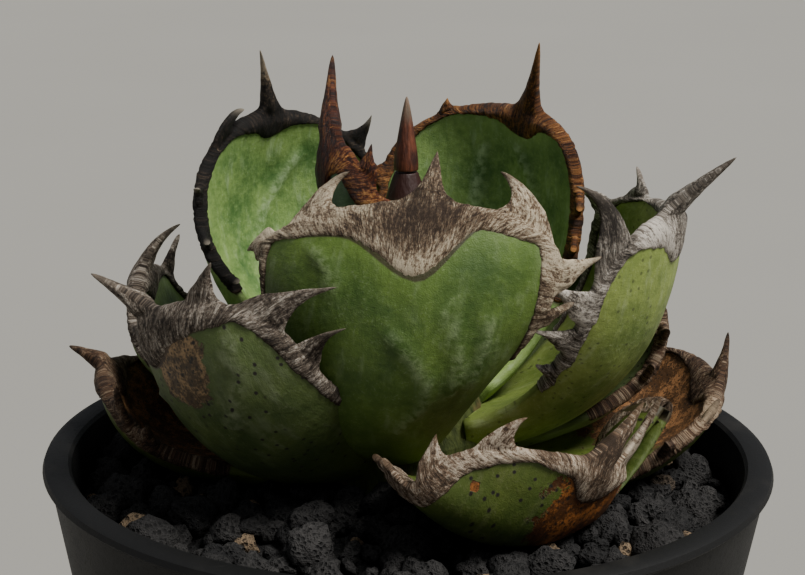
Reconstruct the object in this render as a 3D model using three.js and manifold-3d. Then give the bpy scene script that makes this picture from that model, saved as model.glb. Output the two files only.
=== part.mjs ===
// Potted agave titanota: a compact rosette of thick cupped leaves with broad horny margins, in a round pot.
// Millimetres, +Z up. The origin is the middle of the pot's foot, and the plant's front faces -Y.
import * as THREE from 'three';
import { mergeVertices } from 'three/addons/utils/BufferGeometryUtils.js';
import Module from 'manifold-3d';

const { clamp, degToRad, lerp, smoothstep } = THREE.MathUtils;
const wasm = await Module();
wasm.setup();

// The pot: a tapered wall with a thick rounded lip, a raised floor with drain holes, and a foot ring.
const POT = {
  height: 115,
  rimRadius: 70,
  lipWidth: 5.4,
  lipRound: 1,
  taper: 0.179,
  wall: 2.6,
  floor: 3,
  footWidth: 6,
  footHeight: 2.5,
  drainRadius: 4,
  drainCircle: 26,
  drains: 6,
  sides: 48,
};

// The grit that fills it. Levels are measured from the rim plane, as every height of the plant is.
const GRIT = {
  wallLevel: -9,
  middleLevel: -5,
  stones: 84,
  smallest: 2.4,
  largest: 4.6,
  innerRing: 36,
  sides: 36,
};

// The short stem that every leaf clasps: radius and height of its profile, and its roots.
const STEM = {
  profile: [[0, -38], [6, -36], [10, -26], [14, -14], [16, -6], [16, 4], [13, 12], [9, 18], [5, 21], [0, 22]],
  sides: 14,
  roots: 6,
  rootRadius: 2,
  rootReach: 40,
  rootTop: -18,
  rootDrop: 40,
};

// The rolled bud in the middle: radius and height of each ring, and the spine at its point.
const BUD = {
  place: [-1, 1],
  rings: [[4, 22.5], [6, 30], [6, 40], [4, 50], [2.6, 54]],
  sides: 8,
  spineRadius: 2.4,
  spineBase: 54.4,
  spineTip: 68,
};

// Face to face pieces stay GAP apart, and a piece is cut back CLEARANCE from what it would cross.
const GAP = 0.3;
const CLEARANCE = 0.45;

// A leaf's thickness at its very edge, and how far the horn stands out of the green.
const EDGE = 1.3;
const PROUD = 0.35;

// Steps of a blade along and across the leaf, and the widest step along a horny band.
const ROWS = 7;
const COLUMNS = 6;
const BAND_STEP = 9;

// Every leaf, oldest first. heading turns from the front (0) to the right (90).
// rib: four control points of the midrib as out from the axis, up from the rim plane, aside.
// halfWidth, baseHalfWidth, thick (root, tip): sizes across. widest: where, as a share of the rib.
// round: how square the shoulders are. lopsided: share of the width on the right-hand side.
// cup: radius of the trough across the leaf at the root and at the tip. twist: degrees at root and tip.
// band: width of the horny margin, from the share bandFrom of the rib. capDepth and lobeDepth: how far
// the horny cap reaches down from the tip on the rib, and left and right of it.
// spine: length, lean out of the leaf's line, further bend, lean aside, radius at its root.
// teeth: side, distance from the tip along the margin, length, half width at the root, lean to the tip,
// curl, and for some how far the point bends out of the leaf's face, towards the inner side.
const LEAVES = [
  {
    name: 'low_front', heading: 36, rib: [[15, -5, 1], [46, -2, -1], [43, -8, -5], [50, 11, 5]],
    halfWidth: 35, baseHalfWidth: 12, widest: 0.5, round: 2.4, lopsided: 1.12, cup: [45, 30],
    twist: [-14, 7], thick: [8, 3.5], band: 4.5, bandFrom: 0.2, capDepth: 8, lobeDepth: [4, 4],
    spine: [14, 10, 5, 25, 3.2],
    teeth: [
      [-1, 22, 8, 4, 10, 60], [-1, 33, 5, 3.5, 20, 30], [-1, 41, 5, 3, 0, -20], [-1, 47, 6, 2, -60, 0],
      [1, 12, 15, 4.5, 5, 15, 1], [1, 24, 12, 4, 20, 10, 2],
    ],
  },
  {
    name: 'low_left', heading: -97, rib: [[16, -5, 0], [38, -7, -1], [55, -7, 1], [60, 14, 1]],
    halfWidth: 21, baseHalfWidth: 11, widest: 0.62, round: 3.2, lopsided: 0.97, cup: [26, 33],
    twist: [-3, 5], thick: [7, 3], band: 2.5, bandFrom: 0.3, capDepth: 8, lobeDepth: [4, 4],
    spine: [8, -45, -10, 0, 2.8],
    teeth: [[1, 19, 7, 4, 0, 60], [1, 28, 7, 4, 0, 60], [-1, 32, 8, 4, 0, 0]],
  },
  {
    name: 'low_right', heading: 101, rib: [[16, -5, 0], [38, -10, 0], [55, -5, 2], [62, 11, -2]],
    halfWidth: 26, baseHalfWidth: 9, widest: 0.61, round: 2.6, lopsided: 1.1, cup: [34, 34],
    twist: [10, -6], thick: [7, 3], band: 2, bandFrom: 0.3, capDepth: 8, lobeDepth: [4, 4],
    spine: [10, 5, 15, 20, 2.2],
    teeth: [[-1, 15, 6, 4, 0, 50], [-1, 33, 4, 3, 0, 0], [1, 30, 8, 4, 0, 0]],
  },
  {
    name: 'low_back', heading: 170, rib: [[16, -5, 0], [38, -10, 0], [57, -8, 0], [61, 12, 0]],
    halfWidth: 25, baseHalfWidth: 12, widest: 0.6, round: 2.8, lopsided: 1, cup: [28, 34],
    twist: [0, 0], thick: [7, 3], band: 2.5, bandFrom: 0.3, capDepth: 8, lobeDepth: [4, 4],
    spine: [11, -20, -10, 0, 3],
    teeth: [[-1, 22, 8, 4, 0, 0], [-1, 34, 6, 3, 0, 0], [1, 24, 8, 4, 0, 0], [1, 36, 6, 3, 0, 0]],
  },
  {
    name: 'left_rear', heading: -112, rib: [[14, 2, 0], [38, 3, 0], [62, 7, 1], [57, 30, 1]],
    halfWidth: 21, baseHalfWidth: 9, widest: 0.6, round: 2.2, lopsided: 1, cup: [27, 50],
    twist: [0, 16], thick: [8, 3.5], band: 2.2, bandFrom: 0.3, capDepth: 8, lobeDepth: [4, 4],
    spine: [12, 0, 50, -20, 2],
    teeth: [
      [-1, 14, 9, 3, 10, 0], [-1, 24, 8, 2.5, 10, 0], [-1, 33, 8, 2.5, 10, 0],
      [1, 22, 9, 3, 10, 0], [1, 36, 8, 3, 10, 0],
    ],
  },
  {
    name: 'right_rear', heading: 124, rib: [[14, -1, 0], [38, -2, 0], [58, 5, 0], [53, 30, 0]],
    halfWidth: 22, baseHalfWidth: 9, widest: 0.6, round: 2.5, lopsided: 1, cup: [27, 36],
    twist: [0, 0], thick: [7, 3.5], band: 2.2, bandFrom: 0.3, capDepth: 8, lobeDepth: [4, 4],
    spine: [11, -10, -10, 0, 2.8],
    teeth: [[-1, 24, 8, 3, 0, 10], [-1, 36, 6, 3, 0, 10], [1, 24, 8, 3, 0, 10], [1, 36, 6, 3, 0, 10]],
  },
  {
    name: 'back', heading: 178, rib: [[14, 2, 0], [38, 2, 0], [58, 10, 0], [53, 31, 0]],
    halfWidth: 21, baseHalfWidth: 10, widest: 0.6, round: 2.4, lopsided: 1, cup: [28, 36],
    twist: [0, 6], thick: [7, 3.5], band: 2.2, bandFrom: 0.3, capDepth: 8, lobeDepth: [4, 4],
    spine: [11, -10, -10, 0, 2.8],
    teeth: [[-1, 18, 8, 3, 0, 10], [-1, 31, 6, 3, 0, 10], [1, 20, 8, 3, 0, 10], [1, 32, 6, 3, 0, 10]],
  },
  {
    name: 'left_front', heading: -60, rib: [[10, 0, 0], [39, -1, 1], [50, 16, 6], [52, 33, -3]],
    halfWidth: 29, baseHalfWidth: 12, widest: 0.62, round: 3.8, lopsided: 1.06, cup: [19, 28],
    twist: [10, -2], thick: [9, 4], band: 3, bandFrom: 0.4, capDepth: 10, lobeDepth: [6, 6],
    spine: [13, -32, -14, -4, 3.2],
    teeth: [
      [1, 17, 7, 4, -15, -30, -2], [1, 28, 13, 5, -30, -30, -6], [1, 37, 8, 3.5, 30, -40, -6],
      [1, 50, 8, 1.5, -50, -20, -6], [-1, 21, 8, 4, 10, 30], [-1, 34, 8, 4, 0, 20],
    ],
  },
  {
    name: 'right', heading: 84, rib: [[10, 3, 0], [44, 8, 8], [46, 29, -4], [48, 49, -3]],
    halfWidth: 30, baseHalfWidth: 12, widest: 0.66, round: 3, lopsided: 1.3, cup: [29, 29],
    twist: [-12, -20], thick: [9, 4], band: 2.5, bandFrom: 0.3, capDepth: 9, lobeDepth: [5, 5],
    spine: [17, -40, -5, 0, 2.8],
    teeth: [
      [-1, 18, 17, 5.5, 50, -90], [-1, 28, 10, 4, 20, 0], [-1, 37, 8, 3.5, 20, -20],
      [-1, 52, 4, 2, -20, 0], [1, 30, 10, 4, 40, -60], [1, 43, 9, 3, 30, -60],
    ],
  },
  {
    name: 'back_left', heading: -137, rib: [[10, 8, 0], [38, 9, -2], [54, 30, 0], [42, 60, 0]],
    halfWidth: 31, baseHalfWidth: 12, widest: 0.6, round: 2.4, lopsided: 1, cup: [22, 40],
    twist: [8, 2], thick: [8, 3.5], band: 2.2, bandFrom: 0.4, capDepth: 5, lobeDepth: [3, 3],
    spine: [14, -12, -8, 14, 2.4],
    teeth: [
      [1, 14, 9, 4, 20, 110], [1, 29, 5, 3, 20, -30], [1, 40, 4, 3, 0, -40],
      [1, 57, 6, 2, -50, -20], [-1, 23, 8, 3, 0, 40], [-1, 38, 7, 3, 0, 20],
    ],
  },
  {
    name: 'back_right', heading: 144, rib: [[10, 8, 0], [33, 9, 2], [47, 33, 0], [39, 61, -1]],
    halfWidth: 28, baseHalfWidth: 12, widest: 0.62, round: 3.8, lopsided: 1.2, cup: [22, 34],
    twist: [0, -14], thick: [8, 3.5], band: 2.2, bandFrom: 0.4, capDepth: 6, lobeDepth: [3, 3],
    spine: [18, 0, 5, -20, 2.6],
    teeth: [[-1, 29, 5, 3, 0, -30], [-1, 40, 4, 3, 0, -40], [1, 20, 3, 3, 0, 40], [1, 42, 7, 3, 0, 20]],
  },
  {
    name: 'front', heading: 0, rib: [[11, 5, -1], [34, 10, -5], [46, 38, 0], [29, 55, 3]],
    halfWidth: 30, baseHalfWidth: 8, widest: 0.8, round: 5, lopsided: 0.85, cup: [19, 45],
    twist: [8, -8], thick: [9, 4], band: 4.5, bandFrom: 0.5, capDepth: 15, lobeDepth: [9, 5],
    spine: [10, -4, -10, 3, 3.6],
    teeth: [
      [-1, 22, 12, 6, 5, 80], [1, 17, 12, 6, 5, 80], [-1, 37, 9, 5, 10, -10],
      [1, 29, 10, 4, 35, 0], [1, 40, 9, 3, 50, 10],
    ],
  },
  {
    name: 'young', heading: -45, rib: [[5, 16, 0], [17, 24, 1], [20, 46, 0], [16, 62, -5]],
    halfWidth: 15, baseHalfWidth: 8, widest: 0.5, round: 1.5, lopsided: 1, cup: [12.5, 12.5],
    twist: [-5, -24], thick: [6, 3], band: 4.5, bandFrom: 0.4, capDepth: 14, lobeDepth: [7, 7],
    spine: [17, 4, 4, -8, 3],
    teeth: [[1, 12, 5, 3, 40, 0], [1, 22, 11, 5, -10, 40], [-1, 15, 5, 4, 20, 0]],
  },
];

// Solids from geometries, and geometries from solids.

function toSolid(geometry) {
  const bare = geometry.clone();
  bare.deleteAttribute('normal');
  bare.deleteAttribute('uv');
  const merged = mergeVertices(bare, 1e-4);
  return new wasm.Manifold(new wasm.Mesh({
    numProp: 3,
    vertProperties: new Float32Array(merged.attributes.position.array),
    triVerts: new Uint32Array(merged.index.array),
  }));
}

function toGeometry(solid) {
  const mesh = solid.getMesh();
  const geometry = new THREE.BufferGeometry();
  geometry.setAttribute('position', new THREE.BufferAttribute(mesh.vertProperties, 3));
  geometry.setIndex(new THREE.BufferAttribute(mesh.triVerts, 1));
  geometry.computeVertexNormals();
  return geometry;
}

function joined(solids) {
  return solids.reduce((sum, solid) => sum.add(solid));
}

function polyhedron(points, faces) {
  const geometry = new THREE.BufferGeometry();
  geometry.setFromPoints(points);
  geometry.setIndex(faces);
  return toSolid(geometry);
}

function rangeTo(last) {
  return Array.from({ length: last + 1 }, (_, k) => k);
}

// A ring of points round a centre, with its two half-axes.
function ringOf(centre, wideAxis, wide, thickAxis, thick, sides) {
  return rangeTo(sides - 1).map((k) => {
    const angle = (2 * Math.PI * k) / sides;
    return centre.clone().addScaledVector(wideAxis, wide * Math.cos(angle))
      .addScaledVector(thickAxis, thick * Math.sin(angle));
  });
}

// A spike through rings of points, closed by a fan at each end.
function spike(rings, tip) {
  const sides = rings[0].length;
  const root = new THREE.Vector3();
  rings[0].forEach((point) => root.addScaledVector(point, 1 / sides));
  const rootIndex = rings.length * sides;
  const last = rootIndex - sides;
  const faces = [];
  for (let k = 0; k < sides; k += 1) {
    const next = (k + 1) % sides;
    for (let i = 0; i < last; i += sides) {
      faces.push(i + k, i + next, i + sides + next, i + k, i + sides + next, i + sides + k);
    }
    faces.push(rootIndex, next, k);
    faces.push(rootIndex + 1, last + k, last + next);
  }
  return polyhedron([...rings.flat(), root, tip], faces);
}

// A round solid from a profile of [radius, height] pairs that starts and ends on the axis.
function turned(profile, sides) {
  const points = profile.map(([radius, height]) => new THREE.Vector2(radius, height));
  return toSolid(new THREE.LatheGeometry(points, sides).rotateX(Math.PI / 2));
}

// A leaf as a sheet: x across it and y along its rib, bent to a trough, with n the height over the
// middle of its thickness, towards the inner side.

class LeafSheet {
  constructor(leaf) {
    Object.assign(this, leaf);
    const turn = degToRad(leaf.heading);
    const out = new THREE.Vector3(Math.sin(turn), -Math.cos(turn), 0);
    this.aside = new THREE.Vector3(Math.cos(turn), Math.sin(turn), 0);
    this.curve = new THREE.CubicBezierCurve3(...leaf.rib.map(([outwards, up, sideways]) => (
      new THREE.Vector3(0, 0, up).addScaledVector(out, outwards).addScaledVector(this.aside, sideways))));
    this.length = this.curve.getLength();
    this.traces = { '-1': this.traceOutline(-1), 1: this.traceOutline(1) };
  }

  share(y) {
    return clamp(y / this.length, 0, 1);
  }

  // The rib's place and the leaf's three directions there.
  frame(y) {
    const share = this.share(y);
    const along = this.curve.getTangentAt(share);
    const point = this.curve.getPointAt(share).addScaledVector(along, y - share * this.length);
    const across = this.aside.clone().addScaledVector(along, -this.aside.dot(along)).normalize();
    across.applyAxisAngle(along, degToRad(lerp(this.twist[0], this.twist[1], share)));
    return { point, along, across, inner: along.clone().cross(across) };
  }

  width(y, side) {
    const share = this.share(y);
    const full = this.halfWidth * (side > 0 ? this.lopsided : 2 - this.lopsided);
    if (share < this.widest) {
      return lerp(this.baseHalfWidth, full, Math.sin((Math.PI / 2) * (share / this.widest)) ** 1.3);
    }
    const past = (share - this.widest) / (1 - this.widest);
    return full * (1 - past ** this.round) ** (1 / 1.9);
  }

  at(x, y, n) {
    const { point, across, inner } = this.frame(y);
    const bend = lerp(1 / this.cup[0], 1 / this.cup[1], this.share(y));
    const angle = clamp(bend * x, -2.4, 2.4);
    const rest = x - angle / bend;
    const sideways = Math.sin(angle) / bend + rest * Math.cos(angle) - n * Math.sin(angle);
    const inwards = (1 - Math.cos(angle)) / bend + rest * Math.sin(angle) + n * Math.cos(angle);
    return point.addScaledVector(across, sideways).addScaledVector(inner, inwards);
  }

  halfThickness(x, y) {
    const outwards = Math.min(1, Math.abs(x) / Math.max(this.width(y, Math.sign(x)), 1e-3));
    const middle = lerp(this.thick[0], this.thick[1], this.share(y));
    return 0.5 * (EDGE + (middle - EDGE) * (1 - outwards ** 2.2));
  }

  // Where the green ends: along the sides at the horny band, and under the cap in a V with two lobes.
  greenWidth(y, side) {
    const share = y / this.length;
    const grown = share < this.bandFrom ? 0 : Math.min(1, 0.35 + (0.65 / 0.35) * (share - this.bandFrom));
    return Math.max(0.3, this.width(y, side) - this.band * grown);
  }

  greenEnd(v) {
    const lobe = smoothstep(Math.abs(v), 0, 0.45);
    return this.length - lerp(this.capDepth, this.lobeDepth[v < 0 ? 0 : 1], lobe);
  }

  // A place on the green's own grid, and its point on the inner (1) or outer (-1) face. Where the edge
  // runs steeply into the V, the same growth across it is a longer way along the leaf.
  gridPlace(row, column, grow) {
    const v = 1 - (2 * column) / COLUMNS;
    const y = (1 - (1 - row / ROWS) ** 1.3) * this.greenEnd(v);
    const width = this.greenWidth(y, v < 0 ? -1 : 1);
    const nextWidth = (2 * width) / COLUMNS;
    const rise = Math.abs(this.greenEnd(v) - this.greenEnd(v === 0 ? 2 / COLUMNS : 0)) / nextWidth;
    const steep = Math.abs(v) < 0.5 ? Math.hypot(1, rise) : 1;
    return new THREE.Vector2(v * width + Math.round(v * 0.6) * grow, y + grow * steep * (row / ROWS));
  }

  gridPoint(row, column, grow, proud, face) {
    const { x, y } = this.gridPlace(row, column, grow);
    return this.at(x, y, face * (this.halfThickness(x, y) + proud));
  }

  // The outline, traced from the tip down one side with the distance run along it.
  traceOutline(side) {
    const steps = 240;
    const trace = [];
    for (let k = 0; k <= steps; k += 1) {
      const y = this.length * (1 - (k / steps) ** 2.5);
      const place = new THREE.Vector2(side * this.width(y, side), y);
      const before = trace[k - 1];
      trace.push({ place, run: before ? before.run + place.distanceTo(before.place) : 0 });
    }
    return trace;
  }

  outline(side, run) {
    const trace = this.traces[side];
    const k = clamp(trace.findIndex((mark) => mark.run >= run), 1, trace.length - 1);
    const before = trace[k - 1];
    return before.place.clone().lerp(trace[k].place, (run - before.run) / (trace[k].run - before.run));
  }

  tipwards(side, run) {
    return this.outline(side, Math.max(0, run - 0.5)).sub(this.outline(side, run + 0.5)).normalize();
  }

  runAt(side, y) {
    return this.traces[side].find((mark) => mark.place.y <= y).run;
  }

  // The green's edge is marked by its corners, rows up the side and then columns over the top, so a
  // place on the outline has a mark abreast of it, and a mark has a point on the edge.
  edgeMark(side, run) {
    const lobeY = this.greenEnd(side);
    const { y } = this.outline(side, run);
    if (y >= lobeY) return ROWS + (COLUMNS / 2) * (1 - run / this.runAt(side, lobeY));
    const rowY = rangeTo(ROWS).map((row) => this.gridPlace(row, side > 0 ? 0 : COLUMNS, 0).y);
    const row = clamp(rowY.findIndex((mark) => mark > y) - 1, 0, ROWS - 1);
    return row + (y - rowY[row]) / (rowY[row + 1] - rowY[row]);
  }

  edgePoint(side, mark, grow, proud, face) {
    const corner = (k) => {
      const column = Math.max(0, k - ROWS);
      return this.gridPoint(Math.min(k, ROWS), side > 0 ? column : COLUMNS - column, grow, proud, face);
    };
    const low = Math.min(Math.floor(mark), ROWS + COLUMNS / 2 - 1);
    return corner(low).lerp(corner(low + 1), mark - low);
  }
}

// A shell over two grids of points: a face each, walls round the rim, and spikes drawn out of the last
// column's wall.
class Shell {
  constructor(top, bottom) {
    this.rows = top.length;
    this.columns = top[0].length;
    this.under = this.rows * this.columns;
    this.points = [...top.flat(), ...bottom.flat()];
    this.faces = [];
    for (let i = 0; i < this.rows - 1; i += 1) {
      for (let j = 0; j < this.columns - 1; j += 1) {
        const a = i * this.columns + j;
        const c = a + this.columns;
        const u = this.under;
        this.faces.push(a, a + 1, c + 1, a, c + 1, c, u + a, u + c + 1, u + a + 1, u + a, u + c, u + c + 1);
      }
    }
  }

  wall(from, to) {
    this.faces.push(from, this.under + from, this.under + to, from, this.under + to, to);
  }

  closeRim(isOpen) {
    const { rows, columns } = this;
    for (let j = 0; j < columns - 1; j += 1) {
      this.wall(j, j + 1);
      this.wall((rows - 1) * columns + j + 1, (rows - 1) * columns + j);
    }
    for (let i = 0; i < rows - 1; i += 1) {
      this.wall((i + 1) * columns, i * columns);
      if (!isOpen(i)) this.wall((i + 1) * columns - 1, (i + 2) * columns - 1);
    }
  }

  drawOut(i, rings, tip) {
    const [a, b, c] = [i + 1, i + 2, i + 3].map((row) => row * this.columns - 1);
    let loop = [a, this.under + a, this.under + b, this.under + c, c, b];
    for (const ring of rings) {
      const next = ring.map((_, k) => this.points.length + k);
      this.points.push(...ring);
      this.joinLoops(loop, next);
      loop = next;
    }
    this.points.push(tip);
    this.joinLoops(loop, loop.map(() => this.points.length - 1));
  }

  joinLoops(loop, next) {
    loop.forEach((a, k) => {
      const m = (k + 1) % loop.length;
      this.faces.push(a, loop[m], next[m]);
      if (next[m] !== next[k]) this.faces.push(a, next[m], next[k]);
    });
  }

  solid() {
    return polyhedron(this.points, this.faces);
  }
}

function bladeSolid(sheet, grow) {
  const face = (sign) => rangeTo(ROWS).map((row) => rangeTo(COLUMNS)
    .map((column) => sheet.gridPoint(row, column, grow, Math.max(0, grow), sign)));
  const shell = new Shell(face(1), face(-1));
  shell.closeRim(() => false);
  return shell.solid();
}

// Stations of the band up one side, from its low end to the tip: three at the root of each tooth, and
// others between. Roots that would run together are narrowed.
function sideStations(sheet, side) {
  const spineRoot = 1.5 * sheet.spine[4];
  const teeth = sheet.teeth.filter((tooth) => tooth[0] === side).sort((a, b) => b[1] - a[1]);
  const stations = [{ side, run: sheet.runAt(side, sheet.bandFrom * sheet.length) }];
  const fillTo = (run) => {
    const from = stations[stations.length - 1].run;
    const pieces = Math.ceil((from - run) / BAND_STEP);
    for (let k = 1; k < pieces; k += 1) stations.push({ side, run: lerp(from, run, k / pieces) });
  };
  teeth.forEach((tooth, k) => {
    const [, place, , halfBase] = tooth;
    const next = teeth[k + 1] ? teeth[k + 1][1] + teeth[k + 1][3] : spineRoot;
    const low = Math.min(place + halfBase, stations[stations.length - 1].run - 1);
    const high = Math.max(place - halfBase, Math.min(place - 1, next + 1));
    fillTo(low);
    stations.push({ side, run: low, root: tooth }, { side, run: place, root: tooth },
      { side, run: high, root: tooth });
  });
  fillTo(spineRoot);
  stations.push({ side, run: spineRoot, root: sheet.spine }, { side, run: 0, root: sheet.spine });
  return fitMarks(sheet, stations);
}

// Every station has its mark on the green's edge, and every corner of the edge gets a station: one that
// is near moves onto it, and else there is a new one. So band and green keep an even gap.
function fitMarks(sheet, stations) {
  const marked = stations.map((station) => ({ ...station, mark: sheet.edgeMark(station.side, station.run) }));
  for (let corner = Math.ceil(marked[0].mark); corner < ROWS + COLUMNS / 2; corner += 1) {
    const after = marked.findIndex((station) => station.mark >= corner);
    const [before, next] = [marked[after - 1] ?? marked[after], marked[after]];
    const isFree = before.mark > corner - 1 && corner - before.mark < next.mark - corner;
    const nearer = isFree ? before : next;
    if (Math.abs(nearer.mark - corner) < 0.4 || before.root === next.root) {
      nearer.mark = corner;
    } else {
      const share = (corner - before.mark) / (next.mark - before.mark);
      marked.splice(after, 0, { side: next.side, run: lerp(before.run, next.run, share), mark: corner });
    }
  }
  return marked;
}

// Rings round a curved, tapering, flattened horn: six points each, edge, middle, edge on either face.
function hornRings(centres, wideAxes, wides, thickAxes, thicks, edgeShare) {
  return centres.map((centre, i) => {
    const point = (across, over) => centre.clone().addScaledVector(wideAxes[i], across * wides[i])
      .addScaledVector(thickAxes[i], over * thicks[i]);
    return [point(-1, edgeShare), point(-1, -edgeShare), point(0, -1), point(1, -edgeShare),
      point(1, edgeShare), point(0, 1)];
  });
}

// A marginal tooth: it flares out of the band, and leans and curls in the plane of the leaf.
function toothShape(sheet, [side, run, length, halfBase, lean, curl, off = 0], grow) {
  const marks = [0.16, 0.4, 0.7];
  const place = sheet.outline(side, run);
  const tipwards = sheet.tipwards(side, run);
  const outwards = new THREE.Vector2(tipwards.y, -tipwards.x).multiplyScalar(side);
  const centres = [];
  const wideAxes = [];
  const thickAxes = [];
  let f = 0;
  for (const mark of [...marks, 1]) {
    const angle = degToRad(lean + curl * ((f + mark) / 2));
    const ahead = outwards.clone().multiplyScalar(Math.cos(angle)).addScaledVector(tipwards, Math.sin(angle));
    const over = tipwards.clone().multiplyScalar(-side * Math.cos(angle))
      .addScaledVector(outwards, side * Math.sin(angle));
    place.addScaledVector(ahead, length * (mark - f));
    const rise = off * mark ** 2;
    const here = sheet.at(place.x, place.y, rise);
    const ex = sheet.at(place.x + 0.2, place.y, rise).sub(here).normalize();
    const ey = sheet.at(place.x, place.y + 0.2, rise).sub(here).normalize();
    centres.push(here);
    wideAxes.push(ex.clone().multiplyScalar(over.x).addScaledVector(ey, over.y).normalize());
    thickAxes.push(ey.clone().cross(ex).normalize());
    f = mark;
  }
  const wides = marks.map((mark) => halfBase * (0.6 * (1 - mark) ** 3 + 0.4 * (1 - mark)) + grow);
  const thicks = marks.map((mark) => 1.1 - 0.55 * mark + grow);
  const tip = centres.pop();
  return { rings: hornRings(centres, wideAxes, wides, thickAxes, thicks, 0.45), tip };
}

// The terminal spine: it leans and bends out of the leaf's line.
function spineShape(sheet, grow) {
  const [length, lean, bend, aside, radius] = sheet.spine;
  const marks = [0.14, 0.4, 0.72];
  const { point, along, across, inner } = sheet.frame(sheet.length + grow);
  const centres = [];
  const wideAxes = [];
  const thickAxes = [];
  let f = 0;
  for (const mark of [...marks, 1]) {
    const back = degToRad(lean + bend * mark);
    const turn = degToRad(aside);
    const ahead = along.clone().multiplyScalar(Math.cos(back)).addScaledVector(inner, Math.sin(back));
    ahead.multiplyScalar(Math.cos(turn)).addScaledVector(across, Math.sin(turn)).normalize();
    point.addScaledVector(ahead, length * (mark - f));
    centres.push(point.clone());
    wideAxes.push(across.clone().addScaledVector(ahead, -across.dot(ahead)).normalize());
    thickAxes.push(wideAxes[wideAxes.length - 1].clone().cross(ahead).multiplyScalar(-1));
    f = mark;
  }
  const wides = marks.map((mark) => radius * (0.35 * (1 - mark) ** 3 + 0.65 * (1 - mark)) + grow);
  const thicks = wides.map((wide) => 0.8 * wide + 0.3);
  const tip = centres.pop();
  return { rings: hornRings(centres, wideAxes, wides, thickAxes, thicks, 0.5), tip };
}

// The horny margin of a leaf in one piece: band, cap, teeth and terminal spine.
function hornSolid(sheet, grow) {
  const stations = [...sideStations(sheet, -1), ...sideStations(sheet, 1).slice(0, -1).reverse()];
  const ends = [stations[0], stations[stations.length - 1]];
  ends.forEach((station) => {
    station.run += grow;
    station.mark -= grow / BAND_STEP;
  });
  const row = ({ side, run, mark }, face) => {
    const outer = sheet.outline(side, run);
    const along = sheet.tipwards(side, run);
    outer.addScaledVector(new THREE.Vector2(along.y, -along.x), side * grow);
    if (run === 0) outer.set(0, sheet.length + grow);
    const outerHalf = sheet.halfThickness(outer.x, outer.y) + 0.3 * PROUD + grow;
    const inner = sheet.edgePoint(side, mark, -grow, PROUD + grow, face);
    const outerPoint = sheet.at(outer.x, outer.y, face * outerHalf);
    const middle = inner.clone().lerp(outerPoint, 0.5);
    return [inner, middle, outerPoint];
  };
  const face = (sign) => stations.map((station) => row(station, sign));
  const shell = new Shell(face(1), face(-1));
  const opens = stations.map((station, i) => station.root && stations[i + 2]
    && stations[i + 1].root === station.root && stations[i + 2].root === station.root);
  shell.closeRim((i) => opens[i] || opens[i - 1]);
  opens.forEach((open, i) => {
    if (!open) return;
    const { root } = stations[i];
    const { rings, tip } = root === sheet.spine ? spineShape(sheet, grow) : toothShape(sheet, root, grow);
    shell.drawOut(i, rings, tip);
  });
  return shell.solid();
}

// Both solids of a leaf, and one grown a little all over, which its neighbours are cut back from.
function leafSolids(leaf) {
  const sheet = new LeafSheet(leaf);
  return {
    blade: bladeSolid(sheet, -GAP),
    horn: hornSolid(sheet, 0),
    keepClear: joined([bladeSolid(sheet, CLEARANCE), hornSolid(sheet, CLEARANCE)]),
  };
}

// The stem is turned, with roots that run out and down from it.
function stemSolid(grow) {
  const profile = STEM.profile.map(([radius, height]) => (
    radius === 0 ? [0, height + Math.sign(height) * grow] : [radius + grow, height]));
  return joined([turned(profile, STEM.sides), ...rangeTo(STEM.roots - 1).map((k) => rootSolid(k, grow))]);
}

function rootSolid(index, grow) {
  const turn = (2 * Math.PI * (index + 0.3 * (index % 2))) / STEM.roots;
  const out = new THREE.Vector3(Math.cos(turn), Math.sin(turn), 0);
  const start = out.clone().multiplyScalar(4).setZ(STEM.rootTop);
  const bend = out.clone().multiplyScalar(STEM.rootReach * 0.7).setZ(STEM.rootTop - 4);
  const end = out.clone().multiplyScalar(STEM.rootReach).setZ(STEM.rootTop - STEM.rootDrop);
  const curve = new THREE.QuadraticBezierCurve3(start, bend, end);
  const sideways = new THREE.Vector3(0, 0, 1).cross(out);
  const rings = [0, 0.35, 0.7].map((share) => {
    const radius = STEM.rootRadius * (1 - 0.6 * share) + grow;
    const under = curve.getTangentAt(share).cross(sideways);
    return ringOf(curve.getPointAt(share), sideways, radius, under, radius, 5);
  });
  return spike(rings, end.addScaledVector(curve.getTangentAt(1), grow));
}

function budSolids() {
  const middle = (height) => new THREE.Vector3(BUD.place[0], BUD.place[1], height);
  const level = (radius, height) => ringOf(middle(height), new THREE.Vector3(1, 0, 0), radius,
    new THREE.Vector3(0, 1, 0), radius, BUD.sides);
  const span = BUD.spineTip - BUD.spineBase;
  const spineRings = [[1, 0], [0.72, 0.3], [0.4, 0.65]]
    .map(([width, rise]) => level(BUD.spineRadius * width, BUD.spineBase + span * rise));
  const top = BUD.rings[BUD.rings.length - 1][1];
  return {
    bud: spike(BUD.rings.map(([radius, height]) => level(radius, height)), middle(top)),
    spine: spike(spineRings, middle(BUD.spineTip)),
  };
}

// The pot's outer and inner radius at a depth below the rim.
function wallRadius(belowRim) {
  return POT.rimRadius - POT.lipRound - POT.taper * belowRim;
}

function innerRadius(belowRim) {
  return Math.min(POT.rimRadius - POT.lipWidth - 0.1 * belowRim, wallRadius(belowRim) - POT.wall);
}

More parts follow.
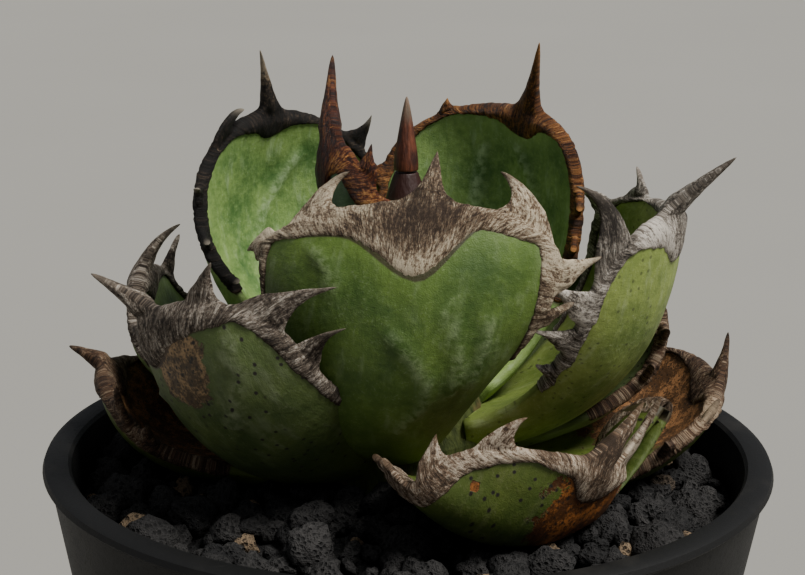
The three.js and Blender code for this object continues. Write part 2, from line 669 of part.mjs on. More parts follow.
function potSolid() {
  const { height, rimRadius, lipWidth, lipRound, footWidth, footHeight } = POT;
  const innerFloor = footHeight + POT.floor;
  const footInner = wallRadius(height) - footWidth;
  const lipInner = rimRadius - lipWidth;
  const inside = [10, 40, height - innerFloor].map((below) => [innerRadius(below), height - below]);
  const pot = turned([
    [0, footHeight],
    [footInner - 1, footHeight],
    [footInner, 0],
    [wallRadius(height) - 0.8, 0],
    [wallRadius(height - 1), 1],
    [wallRadius(2.5), height - 2.5],
    [rimRadius, height - 0.8],
    [rimRadius - lipRound, height],
    [lipInner + 0.6, height],
    [lipInner, height - 0.8],
    ...inside,
    [0, innerFloor],
  ], POT.sides);
  return rangeTo(POT.drains - 1).reduce((rest, k) => {
    const turn = (2 * Math.PI * k) / POT.drains;
    const drain = new THREE.CylinderGeometry(POT.drainRadius, POT.drainRadius, 4 * POT.floor, 10);
    drain.rotateX(Math.PI / 2);
    drain.translate(POT.drainCircle * Math.cos(turn), POT.drainCircle * Math.sin(turn), innerFloor);
    return rest.subtract(toSolid(drain));
  }, pot);
}

function seededRandom(seed) {
  let state = seed;
  return () => {
    state = (state * 1664525 + 1013904223) % 4294967296;
    return state / 4294967296;
  };
}

// The grit is one filling with a low mound, and its top stones stand out of it.
function gritLevel(radius) {
  return lerp(GRIT.middleLevel, GRIT.wallLevel, smoothstep(radius, 20, innerRadius(-GRIT.wallLevel)));
}

function stoneSolid(random, size, place) {
  const block = new THREE.BoxGeometry(1.5 * size, 1.5 * size, 1.5 * size);
  block.deleteAttribute('normal');
  block.deleteAttribute('uv');
  const stone = mergeVertices(block);
  const corners = stone.attributes.position;
  for (let i = 0; i < corners.count; i += 1) {
    const swell = 0.7 + 0.45 * random();
    corners.setXYZ(i, corners.getX(i) * swell, corners.getY(i) * swell, corners.getZ(i) * swell);
  }
  stone.rotateX(1.2 * (random() - 0.5));
  stone.rotateY(1.2 * (random() - 0.5));
  stone.rotateZ(2 * Math.PI * random());
  stone.translate(place.x, place.y, place.z);
  return toSolid(stone);
}

function gritSolid() {
  const random = seededRandom(7);
  const bottom = POT.footHeight + POT.floor - POT.height + GAP;
  const side = [-bottom, 40, 10, 1].map((below) => [innerRadius(below) - GAP, -below]);
  const cavity = turned([[0, bottom], ...side, [0, -1]], GRIT.sides);
  const mound = [48, 34].map((radius) => [radius, gritLevel(radius)]);
  const wide = POT.rimRadius;
  const filling = turned([[0, bottom - 1], [wide, bottom - 1], [wide, GRIT.wallLevel], ...mound,
    [0, GRIT.middleLevel]], GRIT.sides);
  const outerRing = innerRadius(-GRIT.wallLevel) - GRIT.smallest;
  const goldenTurn = Math.PI * (3 - Math.sqrt(5));
  const stones = rangeTo(GRIT.stones - 1).map((i) => {
    const radius = Math.sqrt(lerp(GRIT.innerRing ** 2, outerRing ** 2, (i + 0.5) / GRIT.stones));
    const size = lerp(GRIT.smallest, GRIT.largest, random() ** 1.4);
    const height = gritLevel(radius) + 0.3 * size * random();
    const turn = i * goldenTurn;
    const place = new THREE.Vector3(radius * Math.cos(turn), radius * Math.sin(turn), height);
    return stoneSolid(random, size, place);
  });
  return joined([filling, ...stones]).intersect(cavity);
}

// Putting it together: older pieces keep their shape, and younger ones are cut clear of them.

function meet(a, b) {
  const boxA = a.boundingBox();
  const boxB = b.boundingBox();
  return [0, 1, 2].every((i) => boxA.min[i] < boxB.max[i] && boxB.min[i] < boxA.max[i]);
}

function cutClear(solid, others) {
  const cut = others.filter((other) => meet(solid, other)).reduce((rest, other) => rest.subtract(other), solid);
  return cut.decompose().reduce((best, body) => (body.volume() > best.volume() ? body : best));
}

const MATERIALS = {
  pot: { color: 0x1b1b1d, roughness: 0.6, metalness: 0 },
  grit: { color: 0x2b2a29, roughness: 0.95, metalness: 0 },
  stem: { color: 0x8a8f63, roughness: 0.8, metalness: 0 },
  leaf: { color: 0x4e7038, roughness: 0.5, metalness: 0 },
  horn: { color: 0xa09381, roughness: 0.85, metalness: 0 },
  budSpine: { color: 0x6b3a22, roughness: 0.5, metalness: 0 },
};

function piece(name, solid, material) {
  const mesh = new THREE.Mesh(toGeometry(solid), new THREE.MeshStandardMaterial(MATERIALS[material]));
  mesh.name = name;
  return mesh;
}

const part = new THREE.Group();
part.add(piece('pot', potSolid(), 'pot'));

const plant = new THREE.Group();
plant.position.z = POT.height;
part.add(plant);

plant.add(piece('stem', stemSolid(0), 'stem'));
const taken = [stemSolid(CLEARANCE)];
for (const leaf of LEAVES) {
  const { blade, horn, keepClear } = leafSolids(leaf);
  plant.add(piece(`${leaf.name}_blade`, cutClear(blade, taken), 'leaf'));
  plant.add(piece(`${leaf.name}_horn`, cutClear(horn, taken), 'horn'));
  taken.push(keepClear);
}
const { bud, spine } = budSolids();
plant.add(piece('bud', cutClear(bud, taken), 'leaf'));
plant.add(piece('bud_spine', cutClear(spine, taken), 'budSpine'));
plant.add(piece('grit', cutClear(gritSolid(), taken), 'grit'));

export default part;
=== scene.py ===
# A potted agave titanota: thick cupped leaves with broad horny margins, in lava grit, in a round pot.
# Metres in the scene; the plant's own values are in millimetres, with heights from the pot's rim.
import math
import random

import bpy
import numpy as np
from mathutils import Matrix, Vector, noise
from mathutils.bvhtree import BVHTree


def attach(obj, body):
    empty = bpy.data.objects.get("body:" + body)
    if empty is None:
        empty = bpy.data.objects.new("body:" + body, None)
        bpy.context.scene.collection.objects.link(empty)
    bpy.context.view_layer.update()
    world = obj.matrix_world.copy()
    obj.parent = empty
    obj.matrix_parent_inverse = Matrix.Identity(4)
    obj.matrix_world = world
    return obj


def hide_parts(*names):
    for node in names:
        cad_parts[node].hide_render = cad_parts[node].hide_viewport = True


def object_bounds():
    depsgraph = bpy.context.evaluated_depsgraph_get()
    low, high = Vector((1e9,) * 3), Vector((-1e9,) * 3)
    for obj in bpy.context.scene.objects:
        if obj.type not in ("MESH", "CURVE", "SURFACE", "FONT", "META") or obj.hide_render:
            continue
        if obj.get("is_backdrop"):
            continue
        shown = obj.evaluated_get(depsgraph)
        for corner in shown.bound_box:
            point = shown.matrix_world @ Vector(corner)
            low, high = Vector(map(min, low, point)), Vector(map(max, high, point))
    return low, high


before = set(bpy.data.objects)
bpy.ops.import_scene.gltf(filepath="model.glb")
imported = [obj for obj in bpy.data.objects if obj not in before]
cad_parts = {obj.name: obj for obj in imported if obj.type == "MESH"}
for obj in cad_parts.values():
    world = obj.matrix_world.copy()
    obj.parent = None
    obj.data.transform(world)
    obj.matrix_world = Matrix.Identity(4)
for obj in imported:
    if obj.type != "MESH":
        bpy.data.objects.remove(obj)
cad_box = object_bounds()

MM = 0.001
RIM = 115 * MM


# Pot. A tapered round nursery pot of black injection-moulded plastic, with a thick rounded lip, a raised
# floor with drain holes, and a foot ring that it stands on. The plastic is satin, dusty and lightly scuffed.

POT_SIDES = 128
POT_PROFILE = [
    (46.4, -109.5), (50.6, -75), (57.6, -40), (62.6, -14), (64.6, -0.8), (65.2, -0.1), (66, 0.0),
    (68.6, 0.0), (69.6, -0.4), (70, -1.4), (68.7, -2.6), (68.5, -3.6), (48.7, -114), (47.6, -115),
    (42.9, -115), (42.4, -114.6), (41.6, -112.5),
]
DRAINS = 6
DRAIN_RADIUS = 4 * MM
DRAIN_CIRCLE = 26 * MM


class Wire:
    """A socket in a material, so that shader maths reads as plain expressions."""

    def __init__(self, tree, socket):
        self.tree = tree
        self.socket = socket

    def node(self, kind, settings=None, sockets=None, output=0):
        new = self.tree.nodes.new(kind)
        for name, value in (settings or {}).items():
            setattr(new, name, value)
        for name, value in (sockets or {}).items():
            if isinstance(value, Wire):
                self.tree.links.new(value.socket, new.inputs[name])
            else:
                new.inputs[name].default_value = value
        return Wire(self.tree, new.outputs[output])

    def maths(self, operation, first, second):
        return self.node("ShaderNodeMath", {"operation": operation}, {0: first, 1: second})

    def __add__(self, other):
        return self.maths("ADD", self, other)

    __radd__ = __add__

    def __sub__(self, other):
        return self.maths("SUBTRACT", self, other)

    def __rsub__(self, other):
        return self.maths("SUBTRACT", other, self)

    def __mul__(self, other):
        return self.maths("MULTIPLY", self, other)

    __rmul__ = __mul__

    def step(self, low, high):
        """0 below low, 1 above high, and smooth between; the other way round where low is the larger."""
        sockets = {"Value": self, "From Min": low, "From Max": high}
        return self.node("ShaderNodeMapRange", {"interpolation_type": "SMOOTHSTEP"}, sockets)

    def blend(self, first, second):
        """The first colour where this mask is 0, and the second where it is 1."""
        sockets = {0: self}
        for index, colour in ((6, first), (7, second)):
            sockets[index] = colour if isinstance(colour, Wire) else (*colour, 1)
        return self.node("ShaderNodeMix", {"data_type": "RGBA"}, sockets, output=2)

    def noise(self, scale, detail=4.0, roughness=0.55, distortion=0.0):
        """Cloudy noise over these coordinates, from 0 to 1."""
        sockets = {
            "Vector": self, "Scale": scale, "Detail": detail, "Roughness": roughness,
            "Distortion": distortion,
        }
        return self.node("ShaderNodeTexNoise", None, sockets)

    def cells(self, scale):
        """Distance to the nearest of scattered points, in cells."""
        return self.node("ShaderNodeTexVoronoi", None, {"Vector": self, "Scale": scale})

    def dots(self, scale):
        """Distance to the nearest of points scattered over the first two coordinates, in cells."""
        flat = {"voronoi_dimensions": "2D"}
        return self.node("ShaderNodeTexVoronoi", flat, {"Vector": self, "Scale": scale})

    def split(self):
        return [self.node("ShaderNodeSeparateXYZ", None, {"Vector": self}, output=k) for k in range(3)]

    def attribute(self, name, output):
        return self.node("ShaderNodeAttribute", {"attribute_name": name}, output=output)


def start_finish(name, **constants):
    """A new material, its shader, and the piece's own coordinates."""
    material = bpy.data.materials.new(name)
    material.use_nodes = True
    tree = material.node_tree
    shader = tree.nodes["Principled BSDF"]
    for socket, value in constants.items():
        shader.inputs[socket.replace("_", " ")].default_value = value
    coordinates = tree.nodes.new("ShaderNodeTexCoord")
    return material, shader, Wire(tree, coordinates.outputs["Object"])


def end_finish(shader, colour, roughness, height, depth):
    """Feeds the shader its colour and roughness, and a bump from a height of that depth in metres."""
    links = colour.tree.links
    links.new(colour.socket, shader.inputs["Base Color"])
    links.new(roughness.socket, shader.inputs["Roughness"])
    bump = height.node("ShaderNodeBump", None, {"Height": height, "Distance": depth, "Strength": 1.0})
    links.new(bump.socket, shader.inputs["Normal"])


def keep_only(piece):
    """Selects that piece alone, and makes it the active one."""
    bpy.ops.object.select_all(action="DESELECT")
    piece.select_set(True)
    bpy.context.view_layer.objects.active = piece


def settle(piece, material, slot, *nodes):
    """Gives a finished piece its material, and puts it in the place of its CAD nodes; the slot is not used."""
    piece.data.materials.clear()
    piece.data.materials.append(material)
    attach(piece, "root")
    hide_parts(*nodes)


def draw_ring(radius, height, last):
    """Extrudes the selected ring of edges to a new radius and height, and returns both."""
    bpy.ops.mesh.extrude_region_move(TRANSFORM_OT_translate={"value": (0, 0, height - last[1])})
    grow = radius / last[0]
    bpy.ops.transform.resize(value=(grow, grow, 1), center_override=(0, 0, 0))
    return radius, height


bpy.ops.object.select_all(action="DESELECT")
ring = (POT_PROFILE[0][0] * MM, POT_PROFILE[0][1] * MM + RIM)
bpy.ops.mesh.primitive_circle_add(
    vertices=POT_SIDES, radius=ring[0], fill_type="NGON", location=(0, 0, ring[1])
)
pot = bpy.context.object
pot.name = "nursery_pot"
bpy.ops.object.transform_apply(location=True, rotation=True, scale=True)
bpy.ops.object.mode_set(mode="EDIT")
bpy.ops.mesh.select_all(action="SELECT")
bpy.ops.mesh.select_mode(type="EDGE")
bpy.ops.mesh.select_all(action="SELECT")
for radius, height in POT_PROFILE[1:]:
    ring = draw_ring(radius * MM, height * MM + RIM, ring)
bpy.ops.mesh.edge_face_add()
bpy.ops.mesh.select_all(action="SELECT")
bpy.ops.mesh.normals_make_consistent(inside=False)
bpy.ops.object.mode_set(mode="OBJECT")

drains = []
for k in range(DRAINS):
    turn = 2 * math.pi * k / DRAINS
    place = (DRAIN_CIRCLE * math.cos(turn), DRAIN_CIRCLE * math.sin(turn), RIM - 111 * MM)
    bpy.ops.object.select_all(action="DESELECT")
    bpy.ops.mesh.primitive_cylinder_add(vertices=32, radius=DRAIN_RADIUS, depth=12 * MM, location=place)
    drains.append(bpy.context.object)
for drain in drains:
    cut = pot.modifiers.new("drain", "BOOLEAN")
    cut.object = drain
    cut.operation = "DIFFERENCE"
    keep_only(pot)
    bpy.ops.object.modifier_apply(modifier="drain")
    bpy.data.objects.remove(drain)
keep_only(pot)
bpy.ops.object.shade_smooth_by_angle(angle=math.radians(28))

pot_plastic, shader, here = start_finish("pot_plastic", Specular_IOR_Level=0.3)
_, _, up = here.split()
haze = here.noise(70, detail=5)
scuffs = here.noise(900, detail=3, roughness=0.7, distortion=2.0)
lip = up.step(RIM - 9 * MM, RIM)
dust = haze.step(0.5, 0.75) * (0.25 + 0.75 * lip) + scuffs.step(0.66, 0.75) * 0.4 * lip
colour = (dust * 0.3).blend((0.003, 0.003, 0.003), (0.045, 0.04, 0.034))
roughness = 0.5 + 0.2 * haze + 0.12 * scuffs.step(0.5, 0.7)
end_finish(shader, colour, roughness, scuffs * 0.5 + here.noise(3000, detail=2) * 0.5, 0.00008)
settle(pot, pot_plastic, "pot", "pot")


# Grit. Loose porous lava stones, black to charcoal with some tan ones, heaped a little towards the plant.
# The bed under them is one dark filling down to the pot's floor.

BED_RINGS = 26
BED_INSET = 2.3 * MM
BED_RADIUS = 62.6
BED_FOOT = [(57.3, -40), (46.2, -109.1)]
SUNK = 1.6
STONES_FROM = 12
STONES_TO = 61.2
STONES_LARGE = 230
STONES_SMALL = 620
MIDDLE_LEVEL = -5
WALL_LEVEL = -9.5
LAVA_LOOKS = 7


def grit_level(radius):
    """Height of the grit from the rim plane, both in millimetres."""
    share = min(max((radius - 20) / 43, 0), 1)
    return MIDDLE_LEVEL + (WALL_LEVEL - MIDDLE_LEVEL) * share * share * (3 - 2 * share)


bpy.ops.object.select_all(action="DESELECT")
bed_top = WALL_LEVEL * MM + RIM
bpy.ops.mesh.primitive_circle_add(
    vertices=96, radius=BED_RADIUS * MM, fill_type="NGON", location=(0, 0, bed_top)
)
bed = bpy.context.object
bed.name = "grit_bed"
bpy.ops.object.transform_apply(location=True, rotation=True, scale=True)
bpy.ops.object.mode_set(mode="EDIT")
bpy.ops.mesh.select_all(action="SELECT")
for k in range(BED_RINGS):
    bpy.ops.mesh.inset(thickness=BED_INSET)
bpy.ops.mesh.select_all(action="DESELECT")
bpy.ops.mesh.select_non_manifold()
ring = (BED_RADIUS * MM, bed_top)
for radius, height in BED_FOOT:
    ring = draw_ring(radius * MM, height * MM + RIM, ring)
bpy.ops.mesh.edge_face_add()
bpy.ops.mesh.select_all(action="SELECT")
bpy.ops.mesh.normals_make_consistent(inside=False)
bpy.ops.object.mode_set(mode="OBJECT")
for vertex in bed.data.vertices:
    place = vertex.co
    if place.z > bed_top - MM and place.xy.length < (BED_RADIUS - 0.2) * MM:
        rough = noise.noise(place * 260) * 1.3 + noise.noise(place * 700) * 0.6
        place.z = (grit_level(place.xy.length / MM) - SUNK + rough) * MM + RIM
keep_only(bed)
bpy.ops.object.shade_smooth()

lava = []
for k in range(LAVA_LOOKS):
    for detail in (3, 2):
        bpy.ops.object.select_all(action="DESELECT")
        bpy.ops.mesh.primitive_ico_sphere_add(subdivisions=detail, radius=1.0)
        shape = bpy.context.object
        random.seed(40 + k)
        stretch = Vector((random.uniform(0.8, 1.25), random.uniform(0.75, 1.1), random.uniform(0.62, 0.95)))
        shift = Vector((7.3 * k, 2.1 * k, 5.7 * k))
        for vertex in shape.data.vertices:
            way = vertex.co.normalized()
            swell = 1 + 0.42 * noise.noise(way * 1.3 + shift) + 0.22 * noise.noise(way * 3.4 + shift)
            swell += 0.1 * noise.noise(way * 8 + shift)
            vertex.co = way * swell * stretch
        lava.append(shape)

plant_tree = {}
for name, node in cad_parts.items():
    if name.endswith("_blade") or name == "stem":
        corners = [vertex.co.copy() for vertex in node.data.vertices]
        faces = [tuple(polygon.vertices) for polygon in node.data.polygons]
        plant_tree[name] = BVHTree.FromPolygons(corners, faces)


def room_at(place):
    """Distance from a place to the nearest leaf."""
    return min((tree.find_nearest(place)[3] or 1.0) for tree in plant_tree.values())


random.seed(11)
corners, faces, tints, shades = [], [], [], []
golden_turn = math.pi * (3 - math.sqrt(5))
ring_area = STONES_TO ** 2 - STONES_FROM ** 2
for count, low, high, lift, first in ((STONES_LARGE, 3.0, 5.2, 0.55, 0), (STONES_SMALL, 1.4, 2.6, 0.3, 1)):
    for k in range(count):
        radius = math.sqrt(STONES_FROM ** 2 + ring_area * (k + 0.5) / count) + random.uniform(-1.2, 1.2)
        size = low + (high - low) * random.random() ** 1.6
        radius = min(radius, 62.2 - 0.85 * size)
        turn = k * golden_turn + random.uniform(-0.12, 0.12)
        height = grit_level(radius) + lift * size * random.uniform(-0.5, 1.0)
        place = Vector((radius * math.cos(turn), radius * math.sin(turn), height)) * MM + Vector((0, 0, RIM))
        spin = Matrix.Rotation(random.uniform(0, 6.28), 3, "Z")
        spin = spin @ Matrix.Rotation(random.uniform(0, 6.28), 3, "X")
        look = lava[2 * random.randrange(LAVA_LOOKS) + first]
        tint, shade = random.random(), random.random()
        if room_at(place) < size * MM * 0.9:
            continue
        start = len(corners)
        corners += [place + spin @ (vertex.co * size * MM) for vertex in look.data.vertices]
        faces += [[start + v for v in polygon.vertices] for polygon in look.data.polygons]
        tints += [tint] * len(look.data.vertices)
        shades += [shade] * len(look.data.vertices)
for shape in lava:
    bpy.data.objects.remove(shape)
mesh = bpy.data.meshes.new("lava_stones")
mesh.from_pydata(corners, [], faces)
for name, values in (("tint", tints), ("shade", shades)):
    mesh.attributes.new(name, "FLOAT", "POINT").data.foreach_set("value", values)
mesh.shade_smooth()
stones = bpy.data.objects.new("lava_stones", mesh)
bpy.context.scene.collection.objects.link(stones)

lava_rock, shader, here = start_finish("lava_rock", Specular_IOR_Level=0.25)
tint = here.attribute("tint", 2)
shade = here.attribute("shade", 2)
pores = here.cells(900).step(0.5, 0.15)
fine = here.cells(2400).step(0.55, 0.2)
grain = here.noise(1500, detail=6, roughness=0.7)
patch = here.noise(260, detail=4)
black = (shade * 0.7 + patch * 0.5 - 0.1).blend((0.008, 0.008, 0.0085), (0.05, 0.047, 0.045))
brown = patch.blend((0.16, 0.105, 0.06), (0.3, 0.22, 0.14))
colour = tint.step(0.9, 0.93).blend(black, brown)
colour = (grain.step(0.52, 0.75) * 0.3).blend(colour, (0.14, 0.13, 0.12))
# The pores are darkened to near black: painted shade in the hollows.
colour = (pores * 0.75).blend(colour, (0.004, 0.004, 0.004))
height = grain * 0.7 - pores * 0.8 - fine * 0.35
end_finish(shader, colour, 0.85 + 0.12 * grain, height, 0.0009)
settle(stones, lava_rock, "grit", "grit")
settle(bed, lava_rock, "grit", "grit")


# Leaves. Each is a thick waxy green blade, bent along its rib and across to a trough, with a hard horny
# margin grown on in one piece: a broad cap, hooked teeth, and a long terminal spine.

# A leaf's thickness at its very edge, the spacing of places along its margin, and how finely it is drawn.
EDGE = 1.3
BLADE_ROWS = 44
BLADE_COLUMNS = 32
BAND_STEP = 3.0
BAND_COLUMNS = 4
HORN_LEVELS = 2

# heading is the way a leaf points, in degrees from the front. rib is four points of its middle curve, each
# (outwards, up, sideways). round, lopsided and widest shape its outline. cup, twist and thick are the radius
# of its trough, its turn and its thickness, at the root and at the tip. band is the width of its margin, which
# starts at the share band_from of its length. cap_depth and lobe_depth say how far the horn reaches down in
# the middle and at each side. spine is (length, lean, bend, aside, radius). A tooth is (side, distance from
# the tip along the edge, length, half its base, lean, curl, lift off the leaf).
LEAVES = [
    dict(
        name="low_front", heading=36, rib=[(15, -5, 1), (46, -2, -1), (43, -8, -5), (50, 11, 5)],
        half_width=35, base_half_width=12, widest=0.5, round=2.4, lopsided=1.12, cup=(45, 30),
        twist=(-14, 7), thick=(8, 3.5), band=4.5, band_from=0.2, cap_depth=8, lobe_depth=(4, 4),
        spine=(14, 10, 5, 25, 3.2),
        teeth=[
            (-1, 22, 8, 4, 10, 60), (-1, 33, 5, 3.5, 20, 30), (-1, 41, 5, 3, 0, -20), (-1, 47, 6, 2, -60, 0),
            (1, 12, 15, 4.5, 5, 15, 1), (1, 24, 12, 4, 20, 10, 2),
        ],
    ),
    dict(
        name="low_left", heading=-97, rib=[(16, -5, 0), (38, -7, -1), (55, -7, 1), (60, 14, 1)],
        half_width=21, base_half_width=11, widest=0.62, round=3.2, lopsided=0.97, cup=(26, 33),
        twist=(-3, 5), thick=(7, 3), band=2.5, band_from=0.3, cap_depth=8, lobe_depth=(4, 4),
        spine=(8, -45, -10, 0, 2.8),
        teeth=[(1, 19, 7, 4, 0, 60), (1, 28, 7, 4, 0, 60), (-1, 32, 8, 4, 0, 0)],
    ),
    dict(
        name="low_right", heading=101, rib=[(16, -5, 0), (38, -10, 0), (55, -5, 2), (62, 11, -2)],
        half_width=26, base_half_width=9, widest=0.61, round=2.6, lopsided=1.1, cup=(34, 34),
        twist=(10, -6), thick=(7, 3), band=2, band_from=0.3, cap_depth=8, lobe_depth=(4, 4),
        spine=(10, 5, 15, 20, 2.2),
        teeth=[(-1, 15, 6, 4, 0, 50), (-1, 33, 4, 3, 0, 0), (1, 30, 8, 4, 0, 0)],
    ),
    dict(
        name="low_back", heading=170, rib=[(16, -5, 0), (38, -10, 0), (57, -8, 0), (61, 12, 0)],
        half_width=25, base_half_width=12, widest=0.6, round=2.8, lopsided=1, cup=(28, 34),
        twist=(0, 0), thick=(7, 3), band=2.5, band_from=0.3, cap_depth=8, lobe_depth=(4, 4),
        spine=(11, -20, -10, 0, 3),
        teeth=[(-1, 22, 8, 4, 0, 0), (-1, 34, 6, 3, 0, 0), (1, 24, 8, 4, 0, 0), (1, 36, 6, 3, 0, 0)],
    ),
    dict(
        name="left_rear", heading=-112, rib=[(14, 2, 0), (38, 3, 0), (62, 7, 1), (57, 30, 1)],
        half_width=21, base_half_width=9, widest=0.6, round=2.2, lopsided=1, cup=(27, 50),
        twist=(0, 16), thick=(8, 3.5), band=2.2, band_from=0.3, cap_depth=8, lobe_depth=(4, 4),
        spine=(12, 0, 50, -20, 2),
        teeth=[
            (-1, 14, 9, 3, 10, 0), (-1, 24, 8, 2.5, 10, 0), (-1, 33, 8, 2.5, 10, 0),
            (1, 22, 9, 3, 10, 0), (1, 36, 8, 3, 10, 0),
        ],
    ),
    dict(
        name="right_rear", heading=124, rib=[(14, -1, 0), (38, -2, 0), (58, 5, 0), (53, 30, 0)],
        half_width=22, base_half_width=9, widest=0.6, round=2.5, lopsided=1, cup=(27, 36),
        twist=(0, 0), thick=(7, 3.5), band=2.2, band_from=0.3, cap_depth=8, lobe_depth=(4, 4),
        spine=(11, -10, -10, 0, 2.8),
        teeth=[(-1, 24, 8, 3, 0, 10), (-1, 36, 6, 3, 0, 10), (1, 24, 8, 3, 0, 10), (1, 36, 6, 3, 0, 10)],
    ),
    dict(
        name="back", heading=178, rib=[(14, 2, 0), (38, 2, 0), (58, 10, 0), (53, 31, 0)],
        half_width=21, base_half_width=10, widest=0.6, round=2.4, lopsided=1, cup=(28, 36),
        twist=(0, 6), thick=(7, 3.5), band=2.2, band_from=0.3, cap_depth=8, lobe_depth=(4, 4),
        spine=(11, -10, -10, 0, 2.8),
        teeth=[(-1, 18, 8, 3, 0, 10), (-1, 31, 6, 3, 0, 10), (1, 20, 8, 3, 0, 10), (1, 32, 6, 3, 0, 10)],
    ),
    dict(
        name="left_front", heading=-60, rib=[(10, 0, 0), (39, -1, 1), (50, 16, 6), (52, 33, -3)],
        half_width=29, base_half_width=12, widest=0.62, round=3.8, lopsided=1.06, cup=(19, 28),
        twist=(10, -2), thick=(9, 4), band=3, band_from=0.4, cap_depth=10, lobe_depth=(6, 6),
        spine=(13, -32, -14, -4, 3.2),
        teeth=[
            (1, 17, 7, 4, -15, -30, -2), (1, 28, 13, 5, -30, -30, -6), (1, 37, 8, 3.5, 30, -40, -6),
            (1, 50, 8, 1.5, -50, -20, -6), (-1, 21, 8, 4, 10, 30), (-1, 34, 8, 4, 0, 20),
        ],
    ),
    dict(
        name="right", heading=84, rib=[(10, 3, 0), (44, 8, 8), (46, 29, -4), (48, 49, -3)],
        half_width=30, base_half_width=12, widest=0.66, round=3, lopsided=1.3, cup=(29, 29),
        twist=(-12, -20), thick=(9, 4), band=2.5, band_from=0.3, cap_depth=9, lobe_depth=(5, 5),
        spine=(17, -40, -5, 0, 2.8),
        teeth=[
            (-1, 18, 17, 5.5, 50, -90), (-1, 28, 10, 4, 20, 0), (-1, 37, 8, 3.5, 20, -20),
            (-1, 52, 4, 2, -20, 0), (1, 30, 10, 4, 40, -60), (1, 43, 9, 3, 30, -60),
        ],
    ),
    dict(
        name="back_left", heading=-137, rib=[(10, 8, 0), (38, 9, -2), (54, 30, 0), (42, 60, 0)],
        half_width=31, base_half_width=12, widest=0.6, round=2.4, lopsided=1, cup=(22, 40),
        twist=(8, 2), thick=(8, 3.5), band=2.2, band_from=0.4, cap_depth=5, lobe_depth=(3, 3),
        spine=(14, -12, -8, 14, 2.4),
        teeth=[
            (1, 14, 9, 4, 20, 110), (1, 29, 5, 3, 20, -30), (1, 40, 4, 3, 0, -40),
            (1, 57, 6, 2, -50, -20), (-1, 23, 8, 3, 0, 40), (-1, 38, 7, 3, 0, 20),
        ],
    ),
    dict(
        name="back_right", heading=144, rib=[(10, 8, 0), (33, 9, 2), (47, 33, 0), (39, 61, -1)],
        half_width=28, base_half_width=12, widest=0.62, round=3.8, lopsided=1.2, cup=(22, 34),
        twist=(0, -14), thick=(8, 3.5), band=2.2, band_from=0.4, cap_depth=6, lobe_depth=(3, 3),
        spine=(18, 0, 5, -20, 2.6),
        teeth=[(-1, 29, 5, 3, 0, -30), (-1, 40, 4, 3, 0, -40), (1, 20, 3, 3, 0, 40), (1, 42, 7, 3, 0, 20)],
    ),
    dict(
        name="front", heading=0, rib=[(11, 5, -1), (34, 10, -5), (46, 38, 0), (29, 55, 3)],
        half_width=30, base_half_width=8, widest=0.8, round=5, lopsided=0.85, cup=(19, 45),
        twist=(8, -8), thick=(9, 4), band=4.5, band_from=0.5, cap_depth=15, lobe_depth=(9, 5),
        spine=(10, -4, -10, 3, 3.6),
        teeth=[
            (-1, 22, 12, 6, 5, 80), (1, 17, 12, 6, 5, 80), (-1, 37, 9, 5, 10, -10),
            (1, 29, 10, 4, 35, 0), (1, 40, 9, 3, 50, 10),
        ],
    ),
    dict(
        name="young", heading=-45, rib=[(5, 16, 0), (17, 24, 1), (20, 46, 0), (16, 62, -5)],
        half_width=15, base_half_width=8, widest=0.5, round=1.5, lopsided=1, cup=(12.5, 12.5),
        twist=(-5, -24), thick=(6, 3), band=4.5, band_from=0.4, cap_depth=14, lobe_depth=(7, 7),
        spine=(17, 4, 4, -8, 3),
        teeth=[(1, 12, 5, 3, 40, 0), (1, 22, 11, 5, -10, 40), (-1, 15, 5, 4, 20, 0)],
    ),
]


def smooth_share(values, low, high):
    share = np.clip((values - low) / (high - low), 0, 1)
    return share * share * (3 - 2 * share)


def unit(vectors):
    return vectors / np.maximum(np.linalg.norm(vectors, axis=-1, keepdims=True), 1e-9)


def dot(first, second):
    return np.sum(first * second, axis=-1, keepdims=True)


